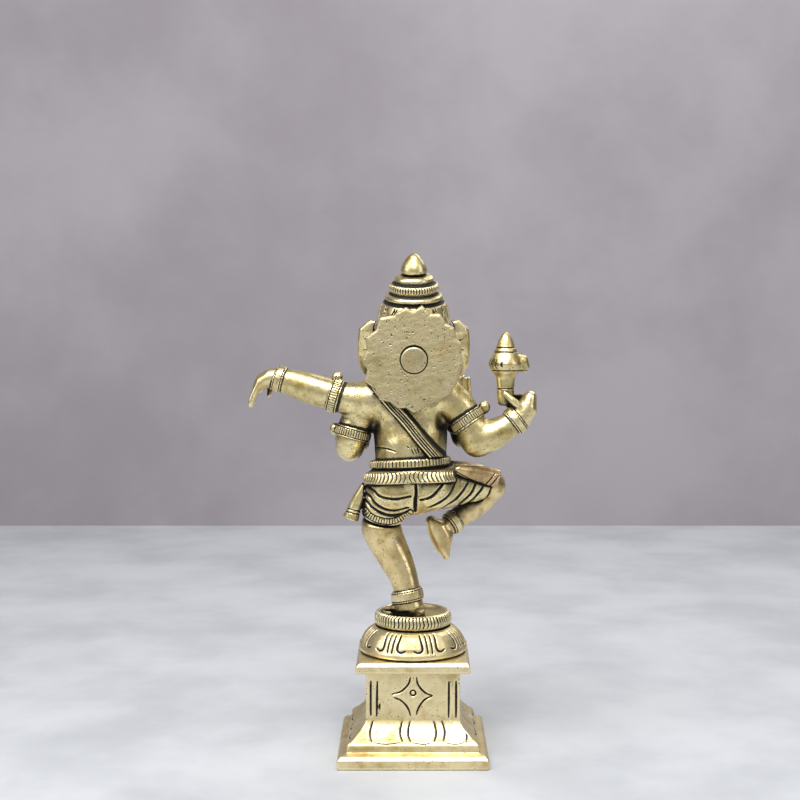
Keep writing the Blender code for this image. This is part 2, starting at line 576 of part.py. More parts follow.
def make_head():
    """Elephant head: domed skull, twin brow domes, cheeks, curling trunk, one whole and one broken tusk."""
    head = ball("head", HEAD_CENTRE, (10.8, 10.6, 11.4), 18)
    trunk = loft("trunk", [
        (-0.3, -5.5, 144.0, 6.8, 5.6), (-0.3, -10.5, 139.4, 5.6, 5.0), (-0.2, -13.6, 133.8, 4.8, 4.4),
        (0.2, -16.0, 128.0, 4.2, 3.9), (1.2, -18.6, 122.8, 3.6, 3.4), (3.4, -20.8, 119.2, 3.1, 3.0),
        (6.6, -22.4, 118.2, 2.7, 2.7), (9.4, -22.8, 120.0, 2.3, 2.3), (10.6, -22.0, 122.8, 1.9, 1.9)
    ], 12, 1, X_AXIS)
    join(
        head, trunk,
        ball("left_brow", (4.0, -5.5, 148.7), (4.9, 4.4, 4.5), 12),
        ball("right_brow", (-4.5, -5.4, 148.6), (4.8, 4.5, 4.6), 13),
        ball("jaw", (-0.3, -3.2, 136.6), (8.4, 7.4, 5.2), 12),
        ball("lower_lip", (-0.3, -8.6, 132.4), (2.6, 2.9, 2.1), 10),
        loft("right_tusk", [(-4.4, -8.0, 137.2, 1.7), (-6.4, -12.6, 135.2, 1.5), (-8.0, -16.4, 134.8, 0.9)],
             7, 1, X_AXIS),
        loft("left_tusk", [(3.8, -8.0, 137.2, 1.7), (5.2, -11.4, 135.4, 1.5), (5.8, -13.0, 135.0, 1.4)],
             8, 1, X_AXIS, ("round", "flat")),
    )
    neck = rod("neck_room", (0, 2.8, 124), (0, 2.8, NECK_TOP + FIT_GAP), 7.0, 20)
    cut(head, trunk_of_body("head_trunk_room", 0.35), neck, *stub_shapes("head_stub_room", 0.35))
    neck_peg = rod("neck_peg", (0, 2.8, NECK_TOP - PEG_DEPTH), (0, 2.8, NECK_TOP + 5), PEG_RADIUS, 12)
    join(head, neck_peg)
    up = Vector((0, math.sin(CROWN_LEAN), math.cos(CROWN_LEAN)))
    slab = [(0, 0), (30, 0), (30, 20), (0, 20)]
    cut(head, turned("crown_seat", slab, 16, CROWN_FOOT - up * FIT_GAP, CROWN_LEAN))
    join(head, rod("crown_peg", CROWN_FOOT - up * 4, CROWN_FOOT + up * PEG_DEPTH, PEG_RADIUS))
    return head


def make_ears():
    """Broad thin ears that hang from the temples in front of the shoulders."""
    for name, side in (("left_ear", 1), ("right_ear", -1)):
        outline = [
            (13.4, 1.6, 153.0, 3.4, 1.5), (14.2, 1.2, 150.6, 5.4, 1.8), (14.6, 0.2, 146.4, 5.4, 1.5),
            (14.8, -1.0, 141.8, 5.2, 1.4), (15.6, -2.6, 138.2, 4.2, 1.3), (16.4, -4.0, 135.8, 2.4, 1.1)
        ]
        stations = [(side * x - 0.3, y, z, half, thick) for x, y, z, half, thick in outline]
        ear = loft(name, stations, 12, 1)
        skull = ball(name + "_head_room", HEAD_CENTRE, (11.15, 10.95, 11.75), 18)
        cut(ear, skull, crown_shape(name + "_crown_room", 0.35))


CROWN_TOP = 20.7  # height of the crown's neck above its foot, along its own leaning axis


def crown_shape(name, room=0.0):
    profile = [
        (0, -room), (13.2 + room, -room), (14.0 + room, 0.8), (13.7 + room, 2.6), (13.0 + room, 3.6),
        (12.5 + room, 7.0), (11.1 + room, 11.0), (10.2 + room, 11.6), (10.0 + room, 13.4),
        (8.8 + room, 14.4), (8.3 + room, 16.8), (7.0 + room, 17.4), (6.7 + room, 19.4),
        (5.4 + room, 20.0), (4.4 + room, CROWN_TOP + room), (0, CROWN_TOP + room)
    ]
    return turned(name, profile, 26, CROWN_FOOT, CROWN_LEAN)


def make_crown():
    """Stepped conical crown, its moulded rings narrowing to a neck, and the bud on top."""
    crown = crown_shape("crown")
    up = Vector((0, math.sin(CROWN_LEAN), math.cos(CROWN_LEAN)))
    cut(crown, rod("crown_socket", CROWN_FOOT - up, CROWN_FOOT + up * (PEG_DEPTH + 0.5), SOCKET_RADIUS))
    cut(crown, rod("finial_socket", CROWN_FOOT + up * 16, CROWN_FOOT + up * 24, 1.9))
    foot = CROWN_TOP + FIT_GAP
    tip = (TIP_HEIGHT - CROWN_FOOT.z) / math.cos(CROWN_LEAN)
    bud = [
        (0, 16.6), (1.5, 16.6), (1.5, foot), (3.8, foot), (4.6, foot + 0.8), (4.6, foot + 1.8),
        (3.9, foot + 3.6), (2.6, foot + 5.4), (1.2, foot + 6.8), (0, tip)
    ]
    turned("crown_finial", bud, 20, CROWN_FOOT, CROWN_LEAN)
    return crown


def make_disc():
    """Toothed plate riveted over the boss that stands out from the back of the head."""
    bm = bmesh.new()
    rim = []
    for index, (angle, tip) in enumerate(DISC_TEETH):
        before, after = DISC_TEETH[index - 1][0], DISC_TEETH[(index + 1) % len(DISC_TEETH)][0]
        back = (before - angle) % -360 / 2
        on = (after - angle) % 360 / 2
        middle = DISC_NOTCH + (tip - DISC_NOTCH) * 0.4
        for turn, radius in ((back, DISC_NOTCH), (back / 2, middle), (0, tip), (on / 2, middle)):
            way = math.radians(angle + turn)
            rim.append(bm.verts.new((-DISC_SQUEEZE * radius * math.sin(way), 0, radius * math.cos(way))))
    face = bm.faces.new(rim)
    grown = bmesh.ops.extrude_face_region(bm, geom=[face])
    moved = [v for v in grown["geom"] if isinstance(v, bmesh.types.BMVert)]
    bmesh.ops.translate(bm, vec=(0, DISC_THICKNESS, 0), verts=moved)
    bmesh.ops.translate(bm, vec=(0, -DISC_THICKNESS / 2, 0), verts=bm.verts)
    bmesh.ops.rotate(bm, matrix=Matrix.Rotation(-DISC_LEAN, 3, "X"), verts=bm.verts)
    bmesh.ops.translate(bm, vec=DISC_CENTRE, verts=bm.verts)
    disc = add_object("back_disc", bm, PALE_BRASS)
    out = Vector((0, math.cos(DISC_LEAN), -math.sin(DISC_LEAN)))
    cut(disc, rod("disc_hole", DISC_CENTRE - out * 5, DISC_CENTRE + out * 5, BOSS_RADIUS + 0.3, 28))
    face_out = DISC_THICKNESS / 2
    boss = [
        (0, -9.4), (3.0, -9.4), (3.0, -5.6), (5.9, -5.6), (5.9, -face_out - FIT_GAP),
        (BOSS_RADIUS, -face_out - FIT_GAP), (BOSS_RADIUS, face_out), (BOSS_RADIUS - 0.4, face_out + 0.4),
        (0, face_out + 0.4)
    ]
    turned("disc_rivet", boss, 28, DISC_CENTRE, axis=out, finish=PALE_BRASS)
    return rod("rivet_socket", DISC_CENTRE - out * 9.8, DISC_CENTRE - out * 2, 3.35)


def goad_shaft(name, room=0.0):
    profile = [
        (0, 124.6), (2.3, 124.6), (2.8, 125.6), (3.0, 127.6), (3.1, 131.0), (3.4, 134.6), (5.4, 137.4),
        (6.2, 139.2), (5.4, 141.4), (4.4, 143.2), (4.0, 143.8), (3.9, 144.8), (3.2, 145.4), (3.0, 146.6),
        (2.1, 148.6), (0.9, 150.3), (0, 150.6)
    ]
    outline = [(radius + room if radius else 0, height) for radius, height in profile]
    return turned(name, outline, 16, (-32.7, 3.4, 0))


def make_goad():
    """Elephant goad: shaft, swollen head with a stub hook, ringed neck and conical point."""
    goad = goad_shaft("goad")
    hook = loft("hook", [
        (-33.4, 3.4, 139.6, 3.2), (-36.6, 3.4, 140.3, 2.8), (-38.6, 3.4, 140.0, 2.8), (-39.0, 3.4, 138.4, 2.3)
    ], 9, 1)
    return join(goad, hook)


def make_bowl():
    """Open bowl of round sweets on the front left palm."""
    centre = (17.6, -20.0, 0)
    foot = 116.2
    profile = [
        (0, foot), (2.4, foot), (3.6, foot + 1.0), (4.5, foot + 2.8), (4.7, foot + 3.6), (4.0, foot + 3.6),
        (3.2, foot + 1.9), (0, foot + 1.2)
    ]
    turned("sweet_bowl", profile, 20, centre)
    sweets = ball("sweets", (17.6, -20.0, foot + 3.6), (1.9, 1.9, 2.2), 10)
    for index in range(3):
        angle = 2 * math.pi * index / 3 + 0.4
        join(sweets, ball(f"sweet_{index + 1}", (17.6 + 1.3 * math.cos(angle), -20.0 + 1.3 * math.sin(angle),
                                                 foot + 3.2), 1.3, 8))


def make_sashes():
    """Knotted cloth ends: one hangs down the left hip, one lies back over the raised thigh."""
    left = loft("left_sash", [
        (17.4, 5.3, 96.0, 1.4, 1.6), (18.9, 5.1, 92.6, 2.0, 2.1), (20.6, 4.9, 88.6, 2.5, 2.5),
        (22.2, 4.5, 84.4, 2.9, 2.7)
    ], 12, 1, ends=("round", "flat"))
    right = loft("right_sash", [
        (-15.9, 10.4, 102.5, 1.6, 1.5), (-19.6, 8.2, 101.4, 2.4, 1.8), (-24.4, 4.8, 100.2, 3.0, 2.1),
        (-29.8, 2.0, 98.3, 3.3, 2.2)
    ], 12, 1, ends=("round", "flat"))
    for sash in (left, right):
        cut(sash, trunk_of_body(sash.name + "_trunk_room", 0.35), *thighs(sash.name + "_room", 0.35))


def make_limb_bands(standing, raised, arms):
    for name, arm in ARMS.items():
        armlet(name + "_armlet", arm)
        reach = arm["radius"] + 1
        hug(name + "_bracelet", (arms[name],), arm["wrist"], arm["wrist_axis"], 3.4, 0.6, 22, reach)
    hug("standing_anklet", (standing,), (1.9, 2.6, 56.4), (0.2, -0.1, 1), 4.2, 0.7, 24, 7)
    hug("raised_anklet", (raised,), (-14.4, -6.0, 81.2), (-0.76, -0.42, 0.52), 3.4, 0.6, 22, 5.0)


def set_origin():
    """Moves everything so that the origin is the bottom centre of the whole figure's box."""
    bpy.context.view_layer.update()
    graph = bpy.context.evaluated_depsgraph_get()
    corners = []
    for obj in bpy.data.objects:
        if obj.type == "MESH" and not obj.hide_render:
            solid = obj.evaluated_get(graph)
            corners += [solid.matrix_world @ vert.co for vert in solid.data.vertices]
    low = [min(corner[axis] for corner in corners) for axis in range(3)]
    high = [max(corner[axis] for corner in corners) for axis in range(3)]
    shift = Vector((-(low[0] + high[0]) / 2, -(low[1] + high[1]) / 2, -low[2]))
    for obj in bpy.data.objects:
        obj.location += shift


def main():
    clear_scene()
    make_pedestal()
    make_lotus_and_rim()
    make_clamp()
    torso = make_torso()
    standing, raised = make_standing_leg(), make_raised_leg()
    head = make_head()
    cut(head, make_disc())
    make_crown()
    arms = {name: make_arm(name, arm) for name, arm in ARMS.items()}
    make_goad()
    cut(arms["rear_right"], goad_shaft("goad_room", 0.3))
    make_bowl()
    make_ears()
    make_limb_bands(standing, raised, arms)
    make_sashes()
    set_origin()


main()
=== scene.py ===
import math
import bmesh
import bpy
import numpy as np
from mathutils import Matrix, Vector
from mathutils.bvhtree import BVHTree


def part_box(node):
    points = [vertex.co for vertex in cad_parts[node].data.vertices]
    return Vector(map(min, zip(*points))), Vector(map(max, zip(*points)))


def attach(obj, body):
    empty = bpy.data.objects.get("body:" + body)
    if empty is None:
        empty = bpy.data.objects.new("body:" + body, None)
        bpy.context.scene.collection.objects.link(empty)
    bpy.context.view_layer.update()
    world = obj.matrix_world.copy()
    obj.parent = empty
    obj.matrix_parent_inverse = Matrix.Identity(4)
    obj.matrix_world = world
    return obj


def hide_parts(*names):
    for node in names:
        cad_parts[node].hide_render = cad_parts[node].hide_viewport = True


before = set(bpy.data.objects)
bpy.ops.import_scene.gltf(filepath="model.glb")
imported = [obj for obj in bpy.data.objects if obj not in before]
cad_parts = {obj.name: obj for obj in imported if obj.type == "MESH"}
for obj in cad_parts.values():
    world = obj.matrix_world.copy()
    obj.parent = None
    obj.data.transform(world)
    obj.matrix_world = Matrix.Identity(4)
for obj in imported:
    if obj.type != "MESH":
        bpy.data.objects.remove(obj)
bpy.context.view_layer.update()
mm = 0.001
fullTurn = 2 * math.pi
print("frame loaded:", len(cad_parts), "castings")


def unit(vector):   # all the mesh work below is in millimetres
    vector = np.array(vector, float)
    return vector / np.linalg.norm(vector)


def boxPoint(node, across=0.5, deep=0.5, up=0.5):   # a point in a casting's box
    low, high = (np.array(corner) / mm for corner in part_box(node))
    return low + (high - low) * np.array((across, deep, up))


base = boxPoint("pedestal", up=0.0)   # the middle of the foot, where the figure's own measures start


def softStep(value, low, high):
    share = np.clip((value - low) / (high - low), 0, 1)
    return share * share * (3 - 2 * share)


def edgesOf(faces, count):
    pairs = np.vstack([faces[:, [k, (k + 1) % 4]] for k in range(4)])
    pairs.sort(axis=1)
    keys = np.unique(pairs[:, 0].astype(np.int64) * count + pairs[:, 1])
    return np.stack([keys // count, keys % count], axis=1)


def normalsOf(points, faces):
    turned = np.cross(points[faces[:, 2]] - points[faces[:, 0]], points[faces[:, 3]] - points[faces[:, 1]])
    out = np.zeros_like(points)
    for axis in range(3):
        for corner in range(4):
            out[:, axis] += np.bincount(faces[:, corner], turned[:, axis], len(points))
    return out / np.maximum(np.linalg.norm(out, axis=1, keepdims=True), 1e-12)


def evened(points, edges, weights):   # each weight moves every point towards, or away from, its neighbours
    count = len(points)
    share = np.maximum(np.bincount(edges.ravel(), minlength=count), 1)
    for weight in weights:
        middle = np.empty_like(points)
        for axis in range(3):
            one = np.bincount(edges[:, 0], points[edges[:, 1], axis], count)
            two = np.bincount(edges[:, 1], points[edges[:, 0], axis], count)
            middle[:, axis] = (one + two) / share
        points = points + weight * (middle - points)
    return points


def newWork(node, points, faces, ends=()):
    return {
        "node": node,
        "points": points,
        "faces": faces,
        "ends": list(ends),
        "normals": normalsOf(points, faces),
        "push": np.zeros(len(points)),
        "dark": np.zeros(len(points)),
    }


def recast(node, grain, rounds, slack=0.018):   # a fine copy of a casting with its facets dressed away
    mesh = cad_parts[node].data.copy()
    mesh.transform(Matrix.Scale(1 / mm, 4))
    tidy = bmesh.new()
    tidy.from_mesh(mesh)
    bmesh.ops.remove_doubles(tidy, verts=tidy.verts, dist=0.002)
    tidy.to_mesh(mesh)
    tidy.free()
    blank = bpy.data.objects.new("blank", mesh)
    bpy.context.scene.collection.objects.link(blank)
    shell = blank.modifiers.new("shell", "REMESH")
    shell.mode = "VOXEL"
    shell.voxel_size = grain
    graph = bpy.context.evaluated_depsgraph_get()
    made = bpy.data.meshes.new_from_object(blank.evaluated_get(graph))
    points = np.empty(len(made.vertices) * 3, np.float32)
    made.vertices.foreach_get("co", points)
    points = points.reshape(-1, 3).astype(float)
    corners = np.empty(len(made.loops), np.int32)
    made.loops.foreach_get("vertex_index", corners)
    faces = corners.reshape(-1, 4)
    bpy.data.objects.remove(blank)
    bpy.data.meshes.remove(made)
    bpy.data.meshes.remove(mesh)
    edges = edgesOf(faces, len(points))
    points = evened(points, edges, [0.6, -0.6 - slack] * rounds)
    return newWork(node, points, faces)


def filed(points, edges, rounds):   # takes the facets off and keeps the size
    smooth = evened(points, edges, [0.9, 0.5] * rounds)
    return smooth + evened(points - smooth, edges, [0.9, 0.5] * rounds)


def dressLimb(work, fine, rounds=75):   # files a limb smooth; fine is 1 where a hand or foot keeps its detail
    edges = edgesOf(work["faces"], len(work["points"]))
    smooth = filed(work["points"], edges, rounds)
    light = filed(work["points"], edges, 10)
    work["points"] = smooth + (light - smooth) * fine[:, None]
    work["normals"] = normalsOf(work["points"], work["faces"])


def eased(line, parts=5):   # a smooth line through a few points
    line = np.array(line, float)
    if len(line) == 2:
        return line
    before = np.vstack([2 * line[0] - line[1], line[:-1]])
    after = np.vstack([line[1:], 2 * line[-1] - line[-2]])
    slope = (after - before) / 2
    out = []
    for k in range(len(line) - 1):
        for share in np.arange(parts) / parts:
            a, b = share * share * (3 - 2 * share), share * (1 - share)
            step = b * (1 - share) * slope[k] - b * share * slope[k + 1]
            out.append(line[k] * (1 - a) + line[k + 1] * a + step)
    return np.vstack([out, line[-1]])


def alongLine(flat, line, reach):   # how far each point is from a line, and how far along it
    line = eased(line)
    away = np.full(len(flat), 99.0)
    run = np.zeros(len(flat))
    near = np.flatnonzero(np.all((flat > line.min(0) - reach) & (flat < line.max(0) + reach), axis=1))
    here, gone = flat[near], 0.0
    nearAway, nearRun = away[near], run[near]
    for start, end in zip(line[:-1], line[1:]):
        step = end - start
        long = np.linalg.norm(step)
        share = np.clip((here - start) @ step / long ** 2, 0, 1)
        gap = np.linalg.norm(here - start - share[:, None] * step, axis=1)
        closer = gap < nearAway
        nearAway[closer] = gap[closer]
        nearRun[closer] = gone + share[closer] * long
        gone += long
    away[near], run[near] = nearAway, nearRun
    return away, run, gone


def sink(work, close, depth, where=1.0):   # presses a cut into the surface: close is 1 in its middle
    bottom = softStep(close, 0, 1) * where
    work["push"] -= depth * bottom
    work["dark"] = np.maximum(work["dark"], np.clip(bottom * 1.6, 0, 1))


def cutLine(work, flat, line, half, depth, where=1.0, taper=0.55):
    away, run, whole = alongLine(flat, line, half * 1.5)
    swell = (1 - taper) + taper * np.sin(np.clip(run / whole, 0, 1) * math.pi) ** 0.5
    sink(work, np.clip(1 - away / (half * swell), 0, 1), depth, where)


def lumps(points, size, seed):   # gentle unevenness that is the same on every run
    random = np.random.default_rng(seed)
    out = np.zeros(len(points))
    for octave in range(5):
        way = unit(random.normal(size=3)) * fullTurn / (size * (0.7 + 0.35 * octave))
        other = unit(random.normal(size=3)) * fullTurn / (size * (0.9 + 0.3 * octave))
        turns = random.uniform(0, fullTurn, 2)
        out += np.sin(points @ way + turns[0]) * np.cos(points @ other + turns[1])
    return out / 5


def ribGap(phase, pitch, half):   # 1 in the cut between two ribs
    return np.clip(1 - np.abs((phase + 0.5) % 1 - 0.5) * pitch / half, 0, 1)


def fromAxis(points, middle, axis):   # reach from a middle, then distance and way out from the axis
    reach = points - middle
    out = reach - np.outer(reach @ axis, axis)
    radius = np.maximum(np.linalg.norm(out, axis=1), 1e-6)
    return reach, radius, out / radius[:, None]


def carveBand(work, look):   # settles a band on its limb, then cuts its ribs and the lines along it
    axis = unit(bandAxes[work["node"]])
    out = fromAxis(work["points"], np.median(work["points"], axis=0), axis)[2]
    bore = np.sum(out * work["normals"], axis=1) < -0.5
    inside = work["points"][bore]
    reach, radius, out = fromAxis(work["points"], (inside.min(0) + inside.max(0)) / 2, axis)
    side = unit(np.cross(axis, (0.3, 0.2, 1) if abs(axis[2]) < 0.7 else (1, 0.1, 0)))
    angle = np.arctan2(reach @ np.cross(axis, side), reach @ side)
    high = reach @ axis
    low, top = np.percentile(high[bore], (1, 99))
    high, half = high - (low + top) / 2, (top - low) / 2
    share = high / half
    slot = ((angle + math.pi) / fullTurn * 120).astype(int) % 120
    mean = np.bincount(slot, radius, 120) / np.maximum(np.bincount(slot, minlength=120), 1)
    mean[mean == 0] = radius.mean()
    arc = np.concatenate([[0], np.cumsum(mean * fullTurn / 120)])
    count = round(arc[-1] / look["pitch"])
    phase = np.interp((angle + math.pi) / fullTurn * 120, np.arange(121), arc) / arc[-1] * count
    phase = phase + look.get("arch", 0) * share ** 2 * np.sign(reach[:, 0])
    facing = softStep(np.sum(out * work["normals"], axis=1), -0.1, 0.4)
    work["points"] = work["points"] - out * (look["sunk"] + 0.5 * (1 - facing))[:, None]
    facing = facing * (radius < radius[bore].mean() + look["thick"])
    low, top = look["ribs"]
    zone = (np.abs(share) > low) & (np.abs(share) < top)
    sink(work, ribGap(phase, arc[-1] / count, look["ribHalf"]), look["depth"], zone * facing)
    for place in look["lines"]:
        away = np.abs(share - place) * half
        sink(work, np.clip(1 - away / look["lineHalf"], 0, 1), look["lineDepth"], facing)


def pressRelief(work):
    work["points"] = work["points"] + work["normals"] * work["push"][:, None]
    work["normals"] = normalsOf(work["points"], work["faces"])


cadSolids = {}
for cadName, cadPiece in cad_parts.items():
    cadPoints = np.array([vertex.co for vertex in cadPiece.data.vertices]) / mm
    cadFaces = [tuple(face.vertices) for face in cadPiece.data.polygons]
    cadSolids[cadName] = (cadPoints, cadFaces)


def seamDirtAndShade(work, reach):   # old polish stays in the joints between castings, and painted shade darkens the surface near other castings, where one part shades another
    points = work["points"]
    low, high = points.min(0) - reach, points.max(0) + reach
    spots, shells, start = np.zeros(len(points), bool), [], 0
    joined = []
    for name, (solid, faces) in cadSolids.items():
        if name == work["node"]:
            continue
        if np.any(solid.min(0) > high) or np.any(solid.max(0) < low):
            continue
        spots |= np.all((points > solid.min(0) - reach) & (points < solid.max(0) + reach), axis=1)
        joined.append(solid)
        shells += [tuple(corner + start for corner in face) for face in faces]
        start += len(solid)
    out = np.zeros(len(points))
    if not joined:
        return out
    tree = BVHTree.FromPolygons(np.vstack(joined).tolist(), shells)
    for index in np.flatnonzero(spots).tolist():
        gap = tree.find_nearest(points[index], reach)[3]
        if gap is not None:
            out[index] = 1 - softStep(gap, 0.3, reach)
    return out


def placePiece(work, material, seam=0.8, hollow=1.0, reach=1.1):   # the shares of dirt and painted shade in seams and hollows
    pressRelief(work)
    points, faces = work["points"], work["faces"]
    edges = edgesOf(faces, len(points))
    bent = np.sum((evened(points, edges, [0.6] * 10) - points) * work["normals"], axis=1)
    dirtAndShade = np.maximum(work["dark"], seam * seamDirtAndShade(work, reach))
    # painted shade as well as polish: concave spots, found from how the surface bends, are darkened
    dirtAndShade = np.clip(dirtAndShade + hollow * softStep(bent, 0.02, 0.16), 0, 1)
    mesh = bpy.data.meshes.new(work["node"] + "_casting")
    mesh.from_pydata((points * mm).tolist(), [], faces.tolist() + work["ends"])
    # the patina attribute holds real black polish in the cuts and painted shade in seams and hollows
    for name, values in (("patinaAndShade", dirtAndShade), ("wear", softStep(-bent, 0.015, 0.12))):
        layer = mesh.attributes.new(name, "FLOAT", "POINT")
        full = np.zeros(len(mesh.vertices), np.float32)
        full[:len(values)] = values
        layer.data.foreach_set("value", full)
    mesh.shade_smooth()
    mesh.materials.append(material)
    piece = bpy.data.objects.new(work["node"] + "_casting", mesh)
    bpy.context.scene.collection.objects.link(piece)
    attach(piece, "root")
    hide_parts(work["node"])
    return piece


def newGroup(name, inputs, outputs):
    group = bpy.data.node_groups.new(name, "ShaderNodeTree")
    for label, kind, value in inputs:
        socket = group.interface.new_socket(label, in_out="INPUT", socket_type="NodeSocket" + kind)
        socket.default_value = value
    for label, kind in outputs:
        group.interface.new_socket(label, in_out="OUTPUT", socket_type="NodeSocket" + kind)
    start = group.nodes.new("NodeGroupInput")
    end = group.nodes.new("NodeGroupOutput")
    return group, start, end


def addNode(tree, kind, settings=None, **links):   # a node with its settings, and links by socket name
    node = tree.nodes.new("ShaderNode" + kind)
    for key, value in (settings or {}).items():
        if hasattr(node, key):
            setattr(node, key, value)
        else:
            node.inputs[key].default_value = value
    for key, source in links.items():
        tree.links.new(source, node.inputs[key])
    return node


def mathNode(tree, operation, one, two=None, clamp=False):
    node = tree.nodes.new("ShaderNodeMath")
    node.operation, node.use_clamp = operation, clamp
    for index, value in enumerate((one, two)):
        if value is None:
            continue
        if isinstance(value, (int, float)):
            node.inputs[index].default_value = value
        else:
            tree.links.new(value, node.inputs[index])
    return node.outputs[0]


def mixColour(tree, share, one, two, blend="MIX"):
    node = tree.nodes.new("ShaderNodeMix")
    node.data_type, node.blend_type = "RGBA", blend
    for socket, value in ((node.inputs[0], share), (node.inputs[6], one), (node.inputs[7], two)):
        if isinstance(value, (int, float, tuple)):
            socket.default_value = value
        else:
            tree.links.new(value, socket)
    return node.outputs[2]


def stretch(tree, value, low, high):   # 0 below low, 1 above high
    node = tree.nodes.new("ShaderNodeMapRange")
    node.interpolation_type = "SMOOTHSTEP"
    tree.links.new(value, node.inputs["Value"])
    for label, amount in (("From Min", low), ("From Max", high)):
        if isinstance(amount, (int, float)):
            node.inputs[label].default_value = amount
        else:
            tree.links.new(amount, node.inputs[label])
    return node.outputs[0]


def noiseNode(tree, place, scale, detail=3.0, rough=0.55):
    node = tree.nodes.new("ShaderNodeTexNoise")
    node.inputs["Detail"].default_value = detail
    node.inputs["Roughness"].default_value = rough
    tree.links.new(place, node.inputs["Vector"])
    if isinstance(scale, (int, float)):
        node.inputs["Scale"].default_value = scale
    else:
        tree.links.new(scale, node.inputs["Scale"])
    return node.outputs["Fac"]


def makePolishAndShade():   # black polish left in cuts, corners and pits, and painted shade: the Hollows input blackens corners and the places under and between parts
    group, start, end = newGroup(
        "polishAndShadeGroup",
        [("Place", "Vector", (0, 0, 0)), ("Cuts", "Float", 0.0), ("Hollows", "Float", 0.0),
         ("Wear", "Float", 0.0), ("Spread", "Float", 0.5), ("Specks", "Float", 0.3),
         ("Speck size", "Float", 900.0)],
        [("Black", "Float"), ("Film", "Float")])
    take = start.outputs
    ragged = noiseNode(group, take["Place"], 700.0, 4.0, 0.7)
    loose = mathNode(group, "MULTIPLY", mathNode(group, "SUBTRACT", ragged, 0.5), 0.9)
    cutsAndShade = stretch(group, mathNode(group, "ADD", take["Cuts"], loose), 0.34, 0.72)
    # painted shade: Hollows (ambient occlusion) turns corners and the undersides of parts black
    closed = mathNode(group, "MULTIPLY", take["Hollows"], take["Spread"])
    deep = stretch(group, mathNode(group, "ADD", closed, mathNode(group, "MULTIPLY", loose, 0.7)), 0.38, 0.72)
    dots = noiseNode(group, take["Place"], take["Speck size"], 2.0, 0.5)
    edge = mathNode(group, "SUBTRACT", 0.82, mathNode(group, "MULTIPLY", take["Specks"], 0.2))
    specks = stretch(group, dots, edge, mathNode(group, "ADD", edge, 0.05))
    cloud = noiseNode(group, take["Place"], 160.0, 4.0, 0.6)
    filmAndShade = mathNode(group, "ADD", mathNode(group, "MULTIPLY", cutsAndShade, 0.2), stretch(group, cloud, 0.46, 0.72))
    # painted shade: hollows also darken the film
    filmAndShade = mathNode(group, "ADD", filmAndShade, mathNode(group, "MULTIPLY", take["Hollows"], 1.1))
    filmAndShade = mathNode(group, "SUBTRACT", filmAndShade, take["Wear"], True)
    black = mathNode(group, "MAXIMUM", mathNode(group, "MAXIMUM", cutsAndShade, deep), specks, True)
    group.links.new(black, end.inputs["Black"])
    group.links.new(filmAndShade, end.inputs["Film"])
    return group


def makeBrassTone():   # pale where it is handled, olive brown where it is not, and darker where the film input brings in painted shade from hollows
    group, start, end = newGroup(
        "brassTone",
        [("Place", "Vector", (0, 0, 0)), ("Pale", "Color", (0.9, 0.8, 0.5, 1)),
         ("Deep", "Color", (0.5, 0.4, 0.2, 1)), ("Warm", "Color", (0.7, 0.4, 0.15, 1)),
         ("Film", "Float", 0.0), ("Wear", "Float", 0.0), ("Cloud size", "Float", 90.0)],
        [("Colour", "Color"), ("Dullness", "Float")])
    take = start.outputs
    cloud = stretch(group, noiseNode(group, take["Place"], take["Cloud size"], 3.0, 0.6), 0.38, 0.68)
    small = stretch(group, noiseNode(group, take["Place"], 420.0, 4.0, 0.65), 0.42, 0.75)
    shade = mathNode(group, "MULTIPLY", cloud, 0.55)
    shade = mathNode(group, "ADD", shade, mathNode(group, "MULTIPLY", small, 0.3))
    # the film darkens the tone: tarnish, plus painted shade from hollows
    shade = mathNode(group, "ADD", shade, mathNode(group, "MULTIPLY", take["Film"], 0.52))
    shade = mathNode(group, "SUBTRACT", shade, mathNode(group, "MULTIPLY", take["Wear"], 0.6), True)
    colour = mixColour(group, shade, take["Pale"], take["Deep"])
    blush = stretch(group, noiseNode(group, take["Place"], 130.0, 2.0, 0.5), 0.55, 0.8)
    colour = mixColour(group, mathNode(group, "MULTIPLY", blush, 0.45), colour, take["Warm"])
    group.links.new(colour, end.inputs["Colour"])
    group.links.new(shade, end.inputs["Dullness"])
    return group


